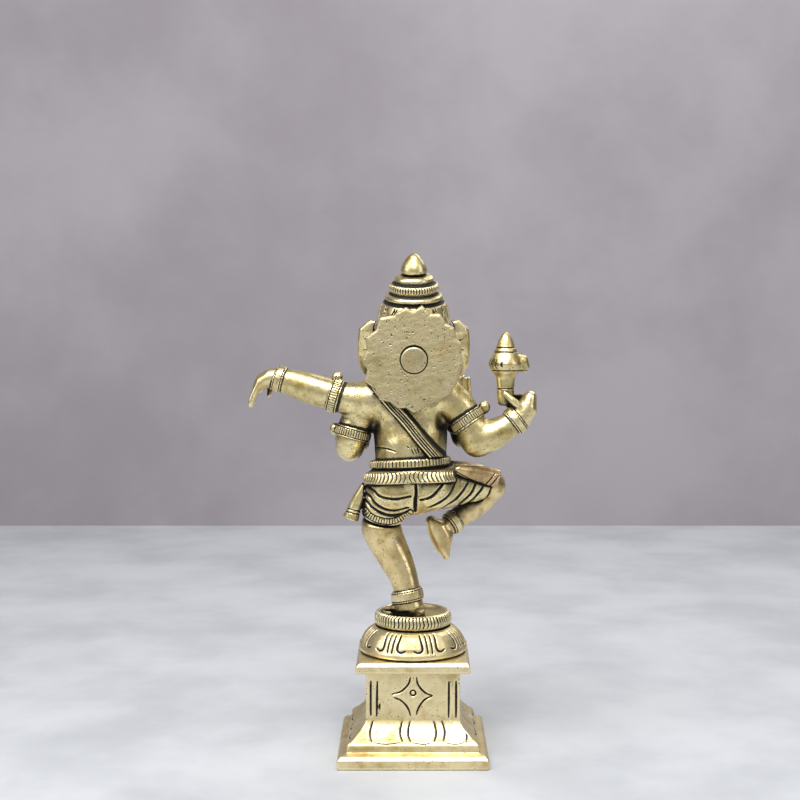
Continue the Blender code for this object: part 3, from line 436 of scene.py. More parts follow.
def makeCastSkin():   # sand grain, pin holes and file scratches
    group, start, end = newGroup(
        "castSkin",
        [("Place", "Vector", (0, 0, 0)), ("Grain size", "Float", 1400.0), ("Grain", "Float", 0.3),
         ("Pin holes", "Float", 0.4), ("Hole size", "Float", 450.0), ("Scratches", "Float", 0.3)],
        [("Height", "Float"), ("Holes", "Float"), ("Scratch", "Float")])
    take = start.outputs
    sand = noiseNode(group, take["Place"], take["Grain size"], 4.0, 0.6)
    grain = mathNode(group, "MULTIPLY", sand, take["Grain"])
    cells = group.nodes.new("ShaderNodeTexVoronoi")
    group.links.new(take["Place"], cells.inputs["Vector"])
    group.links.new(take["Hole size"], cells.inputs["Scale"])
    split = group.nodes.new("ShaderNodeSeparateColor")
    group.links.new(cells.outputs["Color"], split.inputs[0])
    some = mathNode(group, "LESS_THAN", split.outputs[0], mathNode(group, "MULTIPLY", take["Pin holes"], 0.5))
    size = mathNode(group, "MULTIPLY", split.outputs[1], 0.3)
    inside = mathNode(group, "SUBTRACT", 1.0, stretch(group, cells.outputs["Distance"], size, 0.42))
    holes = mathNode(group, "MULTIPLY", inside, some)
    thin = group.nodes.new("ShaderNodeMapping")
    thin.inputs["Rotation"].default_value = (0.5, 0.9, 0.4)
    thin.inputs["Scale"].default_value = (1.0, 9.0, 3.0)
    group.links.new(take["Place"], thin.inputs["Vector"])
    lines = stretch(group, noiseNode(group, thin.outputs[0], 500.0, 2.0, 0.5), 0.62, 0.74)
    scratch = mathNode(group, "MULTIPLY", lines, take["Scratches"])
    height = mathNode(group, "SUBTRACT", grain, holes)
    height = mathNode(group, "SUBTRACT", height, mathNode(group, "MULTIPLY", scratch, 0.35))
    group.links.new(height, end.inputs["Height"])
    group.links.new(holes, end.inputs["Holes"])
    group.links.new(scratch, end.inputs["Scratch"])
    return group


polishAndShadeGroup, brassTone, castSkin = makePolishAndShade(), makeBrassTone(), makeCastSkin()


def useGroup(tree, group, values, **links):
    node = tree.nodes.new("ShaderNodeGroup")
    node.node_tree = group
    for key, value in values.items():
        node.inputs[key].default_value = value
    for key, source in links.items():
        tree.links.new(source, node.inputs[key.replace("_", " ")])
    return node


# spread scales the painted shade that hollows bring in; hollowReach is how far that shade reaches
plainBrass = {
    "pale": (0.93, 0.80, 0.44, 1), "deep": (0.38, 0.29, 0.09, 1), "warm": (0.60, 0.38, 0.13, 1),
    "black": (0.010, 0.008, 0.005, 1), "cloud": 90.0, "spread": 1.7, "specks": 0.35, "speckSize": 1300.0,
    "grain": 0.35, "grainSize": 1500.0, "holes": 0.22, "holeSize": 1700.0, "scratches": 0.35,
    "rough": 0.27, "roughMore": 0.2, "relief": 0.35, "reliefDepth": 0.00022, "hollowReach": 0.007,
}


def makeBrass(name, changes):
    look = {**plainBrass, **changes}
    material = bpy.data.materials.new(name)
    material.use_nodes = True
    tree = material.node_tree
    tree.nodes.clear()
    place = tree.nodes.new("ShaderNodeTexCoord").outputs["Object"]
    cutsAndShade = addNode(tree, "Attribute", {"attribute_name": "patinaAndShade"}).outputs["Fac"]
    wear = addNode(tree, "Attribute", {"attribute_name": "wear"}).outputs["Fac"]
    # painted shade: ambient occlusion darkens corners, creases and places under parts, on top of the real
    # black polish in hollows
    corner = addNode(tree, "AmbientOcclusion", {"samples": 6, "Distance": look["hollowReach"]})
    closed = mathNode(tree, "SUBTRACT", 1.0, corner.outputs["AO"])
    skin = useGroup(tree, castSkin, {
        "Grain": look["grain"], "Grain size": look["grainSize"], "Pin holes": look["holes"],
        "Hole size": look["holeSize"], "Scratches": look["scratches"]}, Place=place)
    polishAndShade = useGroup(tree, polishAndShadeGroup, {
        "Spread": look["spread"], "Specks": look["specks"], "Speck size": look["speckSize"]},
        Place=place, Cuts=cutsAndShade, Hollows=closed, Wear=wear)
    tone = useGroup(tree, brassTone, {
        "Pale": look["pale"], "Deep": look["deep"], "Warm": look["warm"], "Cloud size": look["cloud"]},
        Place=place, Film=polishAndShade.outputs["Film"], Wear=wear)
    black = mathNode(tree, "MAXIMUM", polishAndShade.outputs["Black"], skin.outputs["Holes"])
    colour = mixColour(tree, black, tone.outputs["Colour"], look["black"])
    rough = mathNode(tree, "MULTIPLY", tone.outputs["Dullness"], look["roughMore"])
    rough = mathNode(tree, "ADD", rough, look["rough"])
    rough = mathNode(tree, "ADD", rough, mathNode(tree, "MULTIPLY", skin.outputs["Scratch"], 0.12))
    rough = mathNode(tree, "MAXIMUM", rough, mathNode(tree, "MULTIPLY", black, 0.62), True)
    metal = mathNode(tree, "SUBTRACT", 1.0, mathNode(tree, "MULTIPLY", black, 0.85))
    raised = addNode(tree, "Bump", {"Strength": look["relief"], "Distance": look["reliefDepth"]},
                     Height=skin.outputs["Height"])
    shader = tree.nodes.new("ShaderNodeBsdfPrincipled")
    shader.inputs["Specular IOR Level"].default_value = 0.4
    for label, source in (("Base Color", colour), ("Roughness", rough), ("Metallic", metal),
                          ("Normal", raised.outputs[0])):
        tree.links.new(source, shader.inputs[label])
    out = tree.nodes.new("ShaderNodeOutputMaterial")
    tree.links.new(shader.outputs[0], out.inputs[0])
    return material


def makeSteel(name):
    material = bpy.data.materials.new(name)
    material.use_nodes = True
    tree = material.node_tree
    tree.nodes.clear()
    place = tree.nodes.new("ShaderNodeTexCoord").outputs["Object"]
    skin = useGroup(tree, castSkin, {"Grain": 0.2, "Pin holes": 0.1, "Scratches": 0.8}, Place=place)
    cloud = noiseNode(tree, place, 300.0, 4.0, 0.6)
    colour = mixColour(tree, cloud, (0.42, 0.42, 0.43, 1), (0.66, 0.66, 0.67, 1))
    rust = stretch(tree, noiseNode(tree, place, 900.0), 0.6, 0.75)
    colour = mixColour(tree, rust, colour, (0.2, 0.13, 0.08, 1))
    rough = mathNode(tree, "ADD", mathNode(tree, "MULTIPLY", cloud, 0.25), 0.25)
    raised = addNode(tree, "Bump", {"Strength": 0.3, "Distance": 0.0001}, Height=skin.outputs["Height"])
    shader = tree.nodes.new("ShaderNodeBsdfPrincipled")
    shader.inputs["Metallic"].default_value = 1.0
    tree.links.new(colour, shader.inputs["Base Color"])
    tree.links.new(rough, shader.inputs["Roughness"])
    tree.links.new(raised.outputs[0], shader.inputs["Normal"])
    out = tree.nodes.new("ShaderNodeOutputMaterial")
    tree.links.new(shader.outputs[0], out.inputs[0])
    return material


skinBrass = makeBrass("handledBrass", {})
backBrass = makeBrass("castBodyBrass", {
    "specks": 0.6, "holes": 0.4, "grain": 0.5, "cloud": 120.0, "spread": 2.3})
legBrass = makeBrass("legBrass", {
    "pale": (0.90, 0.73, 0.39, 1), "deep": (0.40, 0.28, 0.09, 1), "warm": (0.60, 0.35, 0.12, 1),
    "cloud": 70.0})
sandBrass = makeBrass("sandCastBrass", {
    "pale": (0.66, 0.56, 0.33, 1), "deep": (0.34, 0.29, 0.14, 1), "warm": (0.52, 0.38, 0.17, 1), "rough": 0.4,
    "grain": 0.9, "grainSize": 1100.0, "holes": 0.4, "holeSize": 1300.0, "specks": 0.7, "relief": 0.55,
    "cloud": 70.0, "spread": 0.8})
plinthBrass = makeBrass("filedPlinthBrass", {
    "pale": (0.90, 0.77, 0.46, 1), "deep": (0.54, 0.43, 0.19, 1), "rough": 0.36, "scratches": 0.5,
    "holes": 0.16, "cloud": 50.0, "spread": 0.55, "specks": 0.3, "hollowReach": 0.003})
bandBrass = makeBrass("ribbedBandBrass", {
    "pale": (0.92, 0.80, 0.47, 1), "deep": (0.50, 0.39, 0.14, 1), "spread": 1.4, "holes": 0.1, "grain": 0.25})
steel = makeSteel("turnedSteel")
print("finishes ready")


def resample(profile, step, rounding=1):   # a profile with close, even points and eased corners
    profile = np.array(profile, float)
    spans = np.linalg.norm(np.diff(profile, axis=0), axis=1)
    run = np.concatenate([[0], np.cumsum(spans)])
    marks = np.linspace(0, run[-1], max(8, round(run[-1] / step)) + 1)
    out = np.stack([np.interp(marks, run, profile[:, k]) for k in range(2)], axis=1)
    for _ in range(rounding):
        out[1:-1] = out[1:-1] / 2 + (out[:-2] + out[2:]) / 4
    return out


def gridFaces(rings, columns, closed):
    rows = np.arange(rings if closed else rings - 1)
    row, column = np.meshgrid(rows, np.arange(columns), indexing="ij")
    nextRow, nextColumn = (row + 1) % rings, (column + 1) % columns
    cell = np.stack([row * columns + column, row * columns + nextColumn,
                     nextRow * columns + nextColumn, nextRow * columns + column], axis=-1)
    return cell.reshape(-1, 4)


def squareRing(half, corner, straight, bend):   # one level of a square block, and the place along its side
    places, spots = [], []
    for side in range(4):
        out = np.array([math.sin(side * fullTurn / 4), math.cos(side * fullTurn / 4)])
        along = np.array([out[1], -out[0]])
        for share in np.linspace(-1, 1, straight):
            reach = share * (half - corner)
            places.append(out * half + along * reach)
            spots.append(reach)
        middle = out * (half - corner) + along * (half - corner)
        for share in np.arange(1, bend) / bend:
            swing = share * fullTurn / 4
            places.append(middle + corner * (out * math.cos(swing) + along * math.sin(swing)))
            spots.append(half * 2)
    return np.array(places), np.array(spots)


pedestalLook = {
    "outer": [(25.9, 0.0), (26.3, 0.3), (26.4, 0.9), (26.4, 3.0), (26.1, 3.6), (25.2, 4.5), (23.8, 5.0),
              (23.1, 5.3), (23.0, 6.0), (22.9, 7.6), (22.4, 8.2), (20.6, 9.6), (18.6, 11.6),
              (17.2, 13.5), (16.7, 14.6), (16.5, 15.2), (16.5, 31.3), (16.7, 31.8), (17.4, 32.0),
              (19.6, 32.1), (20.0, 32.4), (20.0, 34.4), (19.6, 35.2), (18.8, 35.9), (18.2, 36.0)],
    "inner": [(13.5, 31.5), (13.5, 12.6), (19.6, 6.4), (22.0, 4.0), (22.4, 0.2), (22.6, 0.0)],
    "bore": 2.4, "flatReach": 17.4, "corner": 0.55, "straight": 116, "bend": 5, "step": 0.26,
    "innerCorner": 1.0, "innerStep": 0.9, "star": (24.5, 0.95),
    "dieLines": [[(14.8, 28.7), (14.8, 16.6)], [(12.5, 28.6), (12.7, 16.4)], [(11.7, 20.6), (11.7, 18.7)],
                 [(-12.6, 28.5), (-12.5, 15.9)], [(-15.1, 28.7), (-15.1, 15.9)]],
    "starLines": [[(0.9, 30.2), (1.5, 27.9), (3.2, 25.8), (5.0, 24.7), (7.3, 24.1)],
                  [(-1.2, 30.2), (-1.7, 27.7), (-3.0, 25.8), (-4.8, 24.3), (-6.8, 23.6)],
                  [(6.6, 22.9), (4.4, 21.9), (2.5, 20.2), (1.4, 18.3), (0.9, 16.6)],
                  [(-1.2, 16.9), (-1.7, 18.7), (-2.8, 20.6), (-4.3, 22.3), (-6.4, 23.3)]],
    "petalSides": [[(14.0, 14.6), (14.8, 12.3), (15.0, 10.6), (14.4, 8.9)],
                   [(3.7, 14.6), (4.4, 12.3), (4.4, 10.6), (3.6, 8.9)],
                   [(0.9, 14.6), (1.6, 12.3), (1.6, 10.4), (0.9, 8.9)],
                   [(-7.2, 14.6), (-7.9, 12.7), (-8.1, 10.6), (-7.4, 8.9)],
                   [(-10.1, 14.6), (-11.0, 12.3), (-11.1, 10.8), (-10.6, 8.9)],
                   [(-17.0, 14.6), (-18.2, 13.0), (-18.8, 10.8), (-18.6, 8.9)]],
    "petalFeet": [[(13.6, 8.6), (9.2, 8.1), (4.6, 8.6)],
                  [(0.2, 8.6), (-3.2, 8.1), (-6.8, 8.6)],
                  [(-11.4, 8.6), (-14.6, 8.1), (-17.8, 8.6)]],
}


def makePedestal(look):
    outer = resample(look["outer"], look["step"])
    inner = resample(look["inner"], look["innerStep"])
    straight, bend = look["straight"], look["bend"]
    rings, spots = [], []
    for half, high in outer:
        ring, spot = squareRing(half, look["corner"], straight, bend)
        rings.append(np.column_stack([ring, np.full(len(ring), high)]))
        spots.append(spot)
    way = rings[-1][:, :2] / np.linalg.norm(rings[-1][:, :2], axis=1, keepdims=True)
    bore, top, roof = look["bore"], look["outer"][-1][1], look["inner"][0][1]
    boreSteps = [(share * look["flatReach"] + (1 - share) * bore, top) for share in (0.75, 0.4, 0.0)]
    boreSteps += [(bore, roof + 2), (bore, roof)]
    for radius, high in boreSteps:
        rings.append(np.column_stack([way * radius, np.full(len(way), high)]))
    for half, high in inner:
        ring = squareRing(half, look["innerCorner"], straight, bend)[0]
        rings.append(np.column_stack([ring, np.full(len(ring), high)]))
    columns, painted = len(way), len(outer)
    points = np.vstack(rings)
    faces = gridFaces(len(rings), columns, True)[:, ::-1]
    work = newWork("pedestal", points + base, faces)
    spot = np.concatenate([np.concatenate(spots), np.full(len(points) - painted * columns, 99.0)])
    flat = np.column_stack([spot, points[:, 2]])
    for line in look["dieLines"]:
        cutLine(work, flat, line, 0.62, 0.6, taper=0.35)
    for line in look["starLines"]:
        cutLine(work, flat, line, 0.58, 0.55, taper=0.45)
    starHigh, starRadius = look["star"]
    ring = np.abs(np.hypot(flat[:, 0], flat[:, 1] - starHigh) - starRadius)
    sink(work, np.clip(1 - ring / 0.5, 0, 1), 0.6)
    for line in look["petalSides"]:
        cutLine(work, flat, line, 0.52, 0.42, taper=0.5)
    for line in look["petalFeet"]:
        cutLine(work, flat, line, 0.3, 0.12, taper=0.8)
    work["push"] += 0.05 * lumps(points, 9.0, 3) + 0.02 * lumps(points, 2.2, 4)
    work["push"][painted * columns:] = 0
    work["push"][:columns * 3] = 0
    return placePiece(work, plinthBrass, seam=0.7, hollow=0.6)


makePedestal(pedestalLook)
print("pedestal done")


def makeTurned(node, look, relief):   # a turned casting: its profile is radius and height along its axis
    columns = look["columns"]
    profile = resample(look["profile"], look["step"], look.get("rounding", 1))
    lean = look.get("lean", 0.0)
    up = np.array([0, math.sin(lean), math.cos(lean)])
    back = np.array([0, math.cos(lean), -math.sin(lean)])
    left = np.array([1.0, 0, 0])
    angle = np.arange(columns) * fullTurn / columns
    around = np.outer(np.sin(angle), left) + np.outer(np.cos(angle), back)
    rings = [look["foot"] + up * high + around * radius for radius, high in profile]
    points, closed, ends = np.vstack(rings), look.get("bored", False), []
    faces = gridFaces(len(rings), columns, closed)[:, ::-1]
    if not closed:
        ends = [tuple(range(columns)), tuple(range(len(points) - columns, len(points)))[::-1]]
    work = newWork(node, points, faces, ends)
    heights = np.repeat(profile[:, 1], columns)
    radii = np.repeat(profile[:, 0], columns)
    relief(work, np.tile(angle, len(rings)), heights, radii)
    return placePiece(work, look["finish"], look.get("seam", 0.9), look.get("hollow", 1.0))


lotusLook = {
    "foot": base, "columns": 720, "step": 0.22, "bored": True, "finish": plinthBrass,
    "petals": 8, "turn": 0.42, "reach": 16.5, "gapLine": [(5.55, 44.5), (5.75, 38.9)],
    "sideLine": [(3.5, 44.6), (3.9, 42.4), (4.1, 40.6), (3.7, 39.6), (2.6, 39.3), (1.4, 39.8)],
    "profile": [(18.6, 36.3), (19.1, 36.6), (19.4, 37.2), (19.35, 38.0), (18.9, 38.9), (18.4, 40.2),
                (17.3, 42.2), (15.9, 43.8), (14.6, 44.8), (13.4, 45.2), (12.6, 45.2), (2.4, 45.2),
                (2.4, 36.3)],
}


def lotusRelief(work, angle, high, radius):
    look = lotusLook
    turn = ((angle / fullTurn * look["petals"] + look["turn"]) % 1 - 0.5) / look["petals"] * fullTurn
    shown = (radius > 12) & (high > 36.8)
    across = np.abs(turn) * look["reach"]
    flat = np.column_stack([across, high])
    cutLine(work, flat, look["sideLine"], 0.58, 0.55, shown, taper=0.3)
    cutLine(work, flat, look["gapLine"], 0.48, 0.45, shown, taper=0.3)
    swell = softStep(1 - across / 3.6, 0, 0.8) * softStep(high, 39.2, 40.6) * softStep(45.0 - high, 0, 1.5)
    work["push"] += 0.22 * swell * shown
    work["push"] += (0.05 * lumps(work["points"], 7.0, 8) + 0.02 * lumps(work["points"], 1.8, 9)) * shown


makeTurned("lotus_seat", lotusLook, lotusRelief)

footRingLook = {
    "foot": base, "columns": 640, "step": 0.2, "bored": True, "finish": bandBrass, "ribs": 64,
    "profile": [(12.7, 45.5), (13.3, 45.8), (13.8, 46.7), (13.9, 47.8), (13.7, 49.1), (13.2, 50.1),
                (12.4, 50.6), (11.8, 50.4), (11.1, 49.4), (10.3, 48.8), (9.6, 48.6), (2.4, 48.6),
                (2.4, 45.5)],
}


def footRingRelief(work, angle, high, radius):
    outer = (radius > 11.9) & (high > 46.0)
    wander = angle + 0.012 * np.sin(angle * 7) + 0.008 * np.sin(angle * 17 + 2)
    phase = wander / fullTurn * footRingLook["ribs"] + 0.1 * np.sin(high * 2)
    reach = softStep(high, 46.1, 46.8) * softStep(radius, 12.3, 12.9) * outer
    sink(work, ribGap(phase, 1.36, 0.36), 0.42, reach)
    work["push"] += 0.04 * lumps(work["points"], 5.0, 12) * (radius > 3)


makeTurned("foot_ring", footRingLook, footRingRelief)

crownLean = math.radians(13)
crownFoot = np.array([boxPoint("crown")[0], base[1] + 2.6, base[2] + 150.4])
crownLook = {
    "foot": crownFoot, "lean": crownLean, "columns": 560, "step": 0.17, "finish": bandBrass,
    "ribs": 54, "leaves": 15, "grooves": (3.35, 11.5, 14.5, 18.2),
    "profile": [(0.3, 0.05), (12.7, 0.05), (13.4, 0.3), (13.8, 1.0), (13.8, 1.8), (13.3, 2.5),
                (12.4, 2.8), (12.2, 3.2), (12.7, 3.7), (12.8, 4.6), (12.6, 6.6), (12.0, 9.0),
                (11.3, 10.6), (10.7, 11.2), (9.7, 11.4), (9.5, 11.9), (9.9, 12.2), (10.2, 12.7),
                (10.15, 13.4), (9.7, 13.9), (8.6, 14.1), (8.2, 14.6), (8.3, 15.1), (8.6, 15.4),
                (8.85, 16.0), (8.75, 17.2), (8.3, 17.7), (7.2, 17.9), (6.6, 18.3), (6.7, 18.8),
                (6.95, 19.3), (6.8, 19.9), (6.0, 20.5), (4.6, 20.7), (0.3, 20.7)],
}


def crownRelief(work, angle, high, radius):
    look = crownLook
    outer = radius > 4.5
    phase = (angle + 0.01 * np.sin(angle * 5)) / fullTurn * look["ribs"]
    tier = (softStep(high, 15.4, 15.8) * softStep(17.8 - high, 0, 0.4)) * (radius > 8)
    rim = ((high > 0.4) & (high < 2.4) & (radius > 13)) * 1.0
    sink(work, ribGap(phase, 1.0, 0.3), 0.4, tier)
    sink(work, ribGap(phase, 1.2, 0.28), 0.25, rim)
    band = softStep(high, 3.5, 3.9) * softStep(10.9 - high, 0, 0.5) * (radius > 10.2)
    turn = angle / fullTurn * look["leaves"]
    rise = (high - 3.6) / 7.2
    for slant in (0.55, -0.55):
        sink(work, ribGap(turn + slant * rise, 5.0, 0.34), 0.55, band)
        sink(work, ribGap(turn + slant * rise + 0.2, 5.0, 0.22), 0.35, band * (rise > 0.25))
    for place in look["grooves"]:   # black rings under each tier
        black = softStep(1 - np.abs(high - place) / 0.62, 0, 0.6) * outer * (radius < 12.4)
        work["dark"] = np.maximum(work["dark"], black)
    work["push"] += 0.06 * lumps(work["points"], 4.0, 15) * outer


makeTurned("crown", crownLook, crownRelief)

finialLook = {
    "foot": crownFoot, "lean": crownLean, "columns": 160, "step": 0.16, "finish": skinBrass, "rounding": 3,
    "profile": [(0.2, 21.05), (3.6, 21.05), (4.2, 21.3), (4.6, 21.9), (4.68, 22.6), (4.4, 23.6),
                (3.85, 24.7), (3.1, 25.8), (2.3, 26.9), (1.5, 27.7), (0.8, 28.1), (0.15, 28.27)],
}


def finialRelief(work, angle, high, radius):
    shown = softStep(high, 21.2, 21.8)
    work["push"] += 0.1 * lumps(work["points"], 4.5, 21) * shown * softStep(28.2 - high, 0, 1.2)
    work["dark"] = np.maximum(work["dark"], softStep(21.8 - high, 0, 0.6))


makeTurned("crown_finial", finialLook, finialRelief)

bowlMiddle = boxPoint("sweet_bowl", up=0.0)
bowlLook = {
    "foot": bowlMiddle, "columns": 220, "step": 0.15, "finish": bandBrass,
    "profile": [(0.15, 0.05), (2.4, 0.05), (2.9, 0.2), (3.0, 0.5), (3.5, 0.9), (4.3, 1.9), (4.6, 2.8),
                (4.68, 3.3), (4.55, 3.55), (4.25, 3.5), (4.1, 3.0), (3.7, 2.1), (3.0, 1.5), (0.15, 1.35)],
}


def bowlRelief(work, angle, high, radius):
    outer = (radius > 3.2) & (high > 0.9) & (high < 2.9)
    petal = ribGap(angle / fullTurn * 14, 1.9, 0.3)
    sink(work, petal, 0.22, outer * (work["normals"][:, 2] < 0.3))
    sink(work, np.clip(1 - np.abs(high - 2.95) / 0.25, 0, 1), 0.12, (radius > 4.3) * 1.0)


makeTurned("sweet_bowl", bowlLook, bowlRelief)
print("turned castings done")


bandAxes = {
    "waist_belt": (0.05, -0.08, 1), "hip_belt": (0.03, -0.08, 1), "sacred_thread": (-0.766, 0.05, 0.643),
    "rear_left_armlet": (0.955, -0.06, 0.29), "front_left_armlet": (0.26, 0.05, -0.96),
    "rear_right_armlet": (-0.56, 0.12, -0.82), "front_right_armlet": (-0.32, -0.40, -0.86),
    "rear_left_bracelet": (0.95, -0.08, 0.3), "front_left_bracelet": (-0.34, -0.88, 0.34),
    "rear_right_bracelet": (-0.78, -0.08, 0.62), "front_right_bracelet": (0.08, -0.42, 0.9),
    "standing_anklet": (0.2, -0.1, 1), "raised_anklet": (-0.76, -0.42, 0.52),
}

hipMiddle = boxPoint("hip_belt", up=0.0)[[0, 2]]
clothLook = {
    "pleats": [
        [(19.5, 2.0), (13.1, -0.4), (10.8, -2.3), (7.8, -3.2), (4.0, -3.4), (-0.5, -2.8)],
        [(20.5, -0.6), (14.4, -2.7), (12.1, -5.3), (8.7, -7.2), (4.8, -8.0), (0.2, -6.9)],
        [(20.5, -3.0), (15.7, -4.7), (13.3, -7.0), (9.9, -8.9), (6.1, -10.0), (2.3, -9.4), (-0.2, -7.7)],
        [(-3.6, -4.0), (-6.2, -3.3), (-8.7, -1.7), (-11.9, 2.2)],
        [(-6.2, -7.1), (-9.6, -5.3), (-13.0, -3.2), (-15.1, -0.6), (-16.5, 3.0)],
        [(-9.1, -8.4), (-13.0, -6.6), (-16.3, -4.5), (-18.9, -1.5), (-20.8, 1.7)],
        [(-12.5, -8.9), (-16.4, -7.7), (-19.3, -5.3), (-21.9, -2.7), (-23.1, -0.2), (-24.0, 3.0)],
        [(-14.7, -9.2), (-18.9, -7.9), (-22.3, -5.6), (-24.6, -2.9), (-26.2, -0.4), (-27.0, 3.0)]],
    "hems": [[(21.0, -5.0), (16.4, -8.0), (13.8, -10.4), (9.9, -11.8), (5.7, -12.1), (1.9, -10.8),
              (-0.2, -9.0)],
             [(-14.7, -10.6), (-18.9, -9.6), (-23.1, -8.2), (-27.8, -6.6)]],
    "cleft": [(-2.2, 2.4), (-2.3, -1.5), (-2.0, -4.5), (-2.1, -8.5)],
    "pleatHalf": 0.95, "pleatDepth": 0.75, "hemHalf": 0.95, "hemTicks": 0.95,
}


def carveCloth(work, look=clothLook):
    flat = work["points"][:, [0, 2]] - hipMiddle
    for line in look["pleats"]:
        cutLine(work, flat, line, look["pleatHalf"], look["pleatDepth"], taper=0.6)
        away = alongLine(flat - (0, look["pleatHalf"]), line, 1.6)[0]
        work["push"] += 0.22 * softStep(1 - away / 1.1, 0, 1)
    for line in look["hems"][:1 if work["node"] == "raised_leg" else 2]:
        away, run = alongLine(flat, line, 2.0)[:2]
        raised = softStep(1 - np.abs(away) / (look["hemHalf"] + 0.3), 0, 0.5)
        work["push"] += 0.18 * raised
        inside = softStep(1 - away / look["hemHalf"], 0, 0.25)
        sink(work, ribGap(run / look["hemTicks"], look["hemTicks"], 0.27), 0.3, inside)
        sink(work, np.clip(1 - np.abs(away - look["hemHalf"] - 0.15) / 0.34, 0, 1), 0.35)
    away, run, whole = alongLine(flat, look["cleft"], 2.5)
    sink(work, np.clip(1 - away / (0.45 + 0.55 * run / whole), 0, 1), 1.0)


torsoLook = {
    "grain": 0.26, "rounds": 45,
    "ticks": [[(0.9, 15.1), (0.0, 14.4)], [(-0.8, 13.9), (-1.5, 12.3)], [(-1.9, 14.1), (-2.6, 12.5)],
              [(-2.9, 14.3), (-3.5, 12.7)]],
    "slash": [(13.4, 13.5), (8.6, 13.9), (4.8, 13.1)],
    "blades": [[(12.0, 30.0), (11.4, 25.0), (12.4, 20.0)], [(-9.0, 30.0), (-10.6, 26.0), (-11.0, 22.0)]],
    "chest": [(9.0, 29.0), (5.5, 26.5), (0.0, 26.0), (-5.5, 26.5), (-9.0, 29.0)],
    "navel": (-0.6, 9.6),
}


def makeTorso(look):
    work = recast("torso", look["grain"], look["rounds"])
    dressLimb(work, np.zeros(len(work["points"])), 90)
    flat = work["points"][:, [0, 2]] - hipMiddle
    back = softStep(work["normals"][:, 1], 0.0, 0.3)
    carveCloth(work)
    for line in look["ticks"]:
        cutLine(work, flat, line, 0.36, 0.35, back, taper=0.3)
    cutLine(work, flat, look["slash"], 0.5, 0.5, back)
    for line in look["blades"]:
        away = alongLine(flat, line, 3.0)[0]
        work["push"] -= 0.45 * softStep(1 - away / 2.4, 0, 1) * back
    # painted shadow: the torso is darkened in a strip along the sacred thread, where the thread shades it
    cord = unit(bandAxes["sacred_thread"])
    half = np.ptp(cadSolids["sacred_thread"][0] @ cord) / 2
    away = np.abs((work["points"] - boxPoint("sacred_thread")) @ cord)
    threadShadow = (1 - softStep(away, half + 0.5, half + 1.6)) * softStep(flat[:, 1], 9.0, 11.0)
    work["dark"] = np.maximum(work["dark"], threadShadow)
    front = softStep(-work["normals"][:, 1], 0.2, 0.5)
    navel = np.hypot(flat[:, 0] - look["navel"][0], flat[:, 1] - look["navel"][1])
    sink(work, np.clip(1 - navel / 1.1, 0, 1), 0.8, front)
    cutLine(work, flat, look["chest"], 0.7, 0.3, front)
    work["push"] += 0.14 * lumps(work["points"], 6.0, 31) + 0.05 * lumps(work["points"], 1.7, 32)
    return placePiece(work, backBrass, seam=1.0, reach=2.0)


makeTorso(torsoLook)


def handShare(work, band, way):   # 1 on the hand or foot side of a band
    axis = unit(bandAxes[band]) * way
    return softStep((work["points"] - boxPoint(band)) @ axis, 0.0, 3.0)


legLook = {"grain": 0.26, "rounds": 25, "lump": (0.10, 6.0), "dent": (0.035, 1.7), "finish": legBrass}
armLook = {"grain": 0.26, "rounds": 22, "lump": (0.10, 5.0), "dent": (0.035, 1.6), "finish": skinBrass}


def makeLimb(node, look, band, way, seed, carve=None):   # way: 1 with the band's axis, -1 against it
    work = recast(node, look["grain"], look["rounds"])
    dressLimb(work, handShare(work, band, way))
    if carve:
        carve(work)
    (lump, wide), (dent, narrow) = look["lump"], look["dent"]
    work["push"] += lump * lumps(work["points"], wide, seed) + dent * lumps(work["points"], narrow, seed + 1)
    return placePiece(work, look["finish"])


makeLimb("standing_leg", legLook, "standing_anklet", -1, 41, carveCloth)
makeLimb("raised_leg", legLook, "raised_anklet", -1, 43, carveCloth)
print("torso and legs done")

for order, side in enumerate(("rear_left", "rear_right", "front_left", "front_right")):
    makeLimb(side + "_arm", armLook, side + "_bracelet", 1, 51 + 2 * order)
print("arms done")

headLook = {
    "grain": 0.28, "rounds": 40, "eye": (4.6, 141.6),
    "lids": [[(-1.9, -0.2), (-0.6, 0.8), (0.8, 0.7), (2.1, -0.3)],
             [(-1.9, -0.2), (-0.3, -0.9), (1.0, -0.8), (2.1, -0.3)]],
}


def makeHead(look):
    work = recast("head", look["grain"], look["rounds"])
    dressLimb(work, softStep(-work["points"][:, 1] + base[1], 7.0, 10.0), 60)
    points = work["points"]
    front = softStep(-work["normals"][:, 1], 0.1, 0.4)
    flat = np.column_stack([np.abs(points[:, 0] - crownFoot[0]), points[:, 2]])
    eyeX, eyeZ = look["eye"]
    for line in look["lids"]:
        lid = [(eyeX + across, eyeZ + up) for across, up in line]
        cutLine(work, flat, lid, 0.4, 0.35, front, taper=0.4)
    pupil = np.hypot(flat[:, 0] - eyeX - 0.1, flat[:, 1] - eyeZ)
    work["push"] += 0.3 * softStep(1 - pupil / 0.9, 0, 1) * front
    sink(work, np.clip(1 - pupil / 0.3, 0, 1), 0.2, front)
    trunk = softStep(-points[:, 1], 9.5, 11.5) * softStep(138.5 - points[:, 2], 0, 2)
    sink(work, ribGap(points[:, 2] / 1.5, 1.5, 0.24), 0.22, trunk * front)
    work["push"] += 0.1 * lumps(points, 6.0, 71) + 0.03 * lumps(points, 1.7, 72)
    return placePiece(work, skinBrass)


makeHead(headLook)


earLook = {
    "grain": 0.22, "rounds": 30,
    "folds": [[(-3.5, 4.0), (0.0, 2.5), (3.0, 3.5)], [(-3.5, 1.0), (0.5, -0.5), (3.2, -0.5)],
              [(-3.0, -2.0), (0.0, -4.0), (2.2, -5.5)]],
}


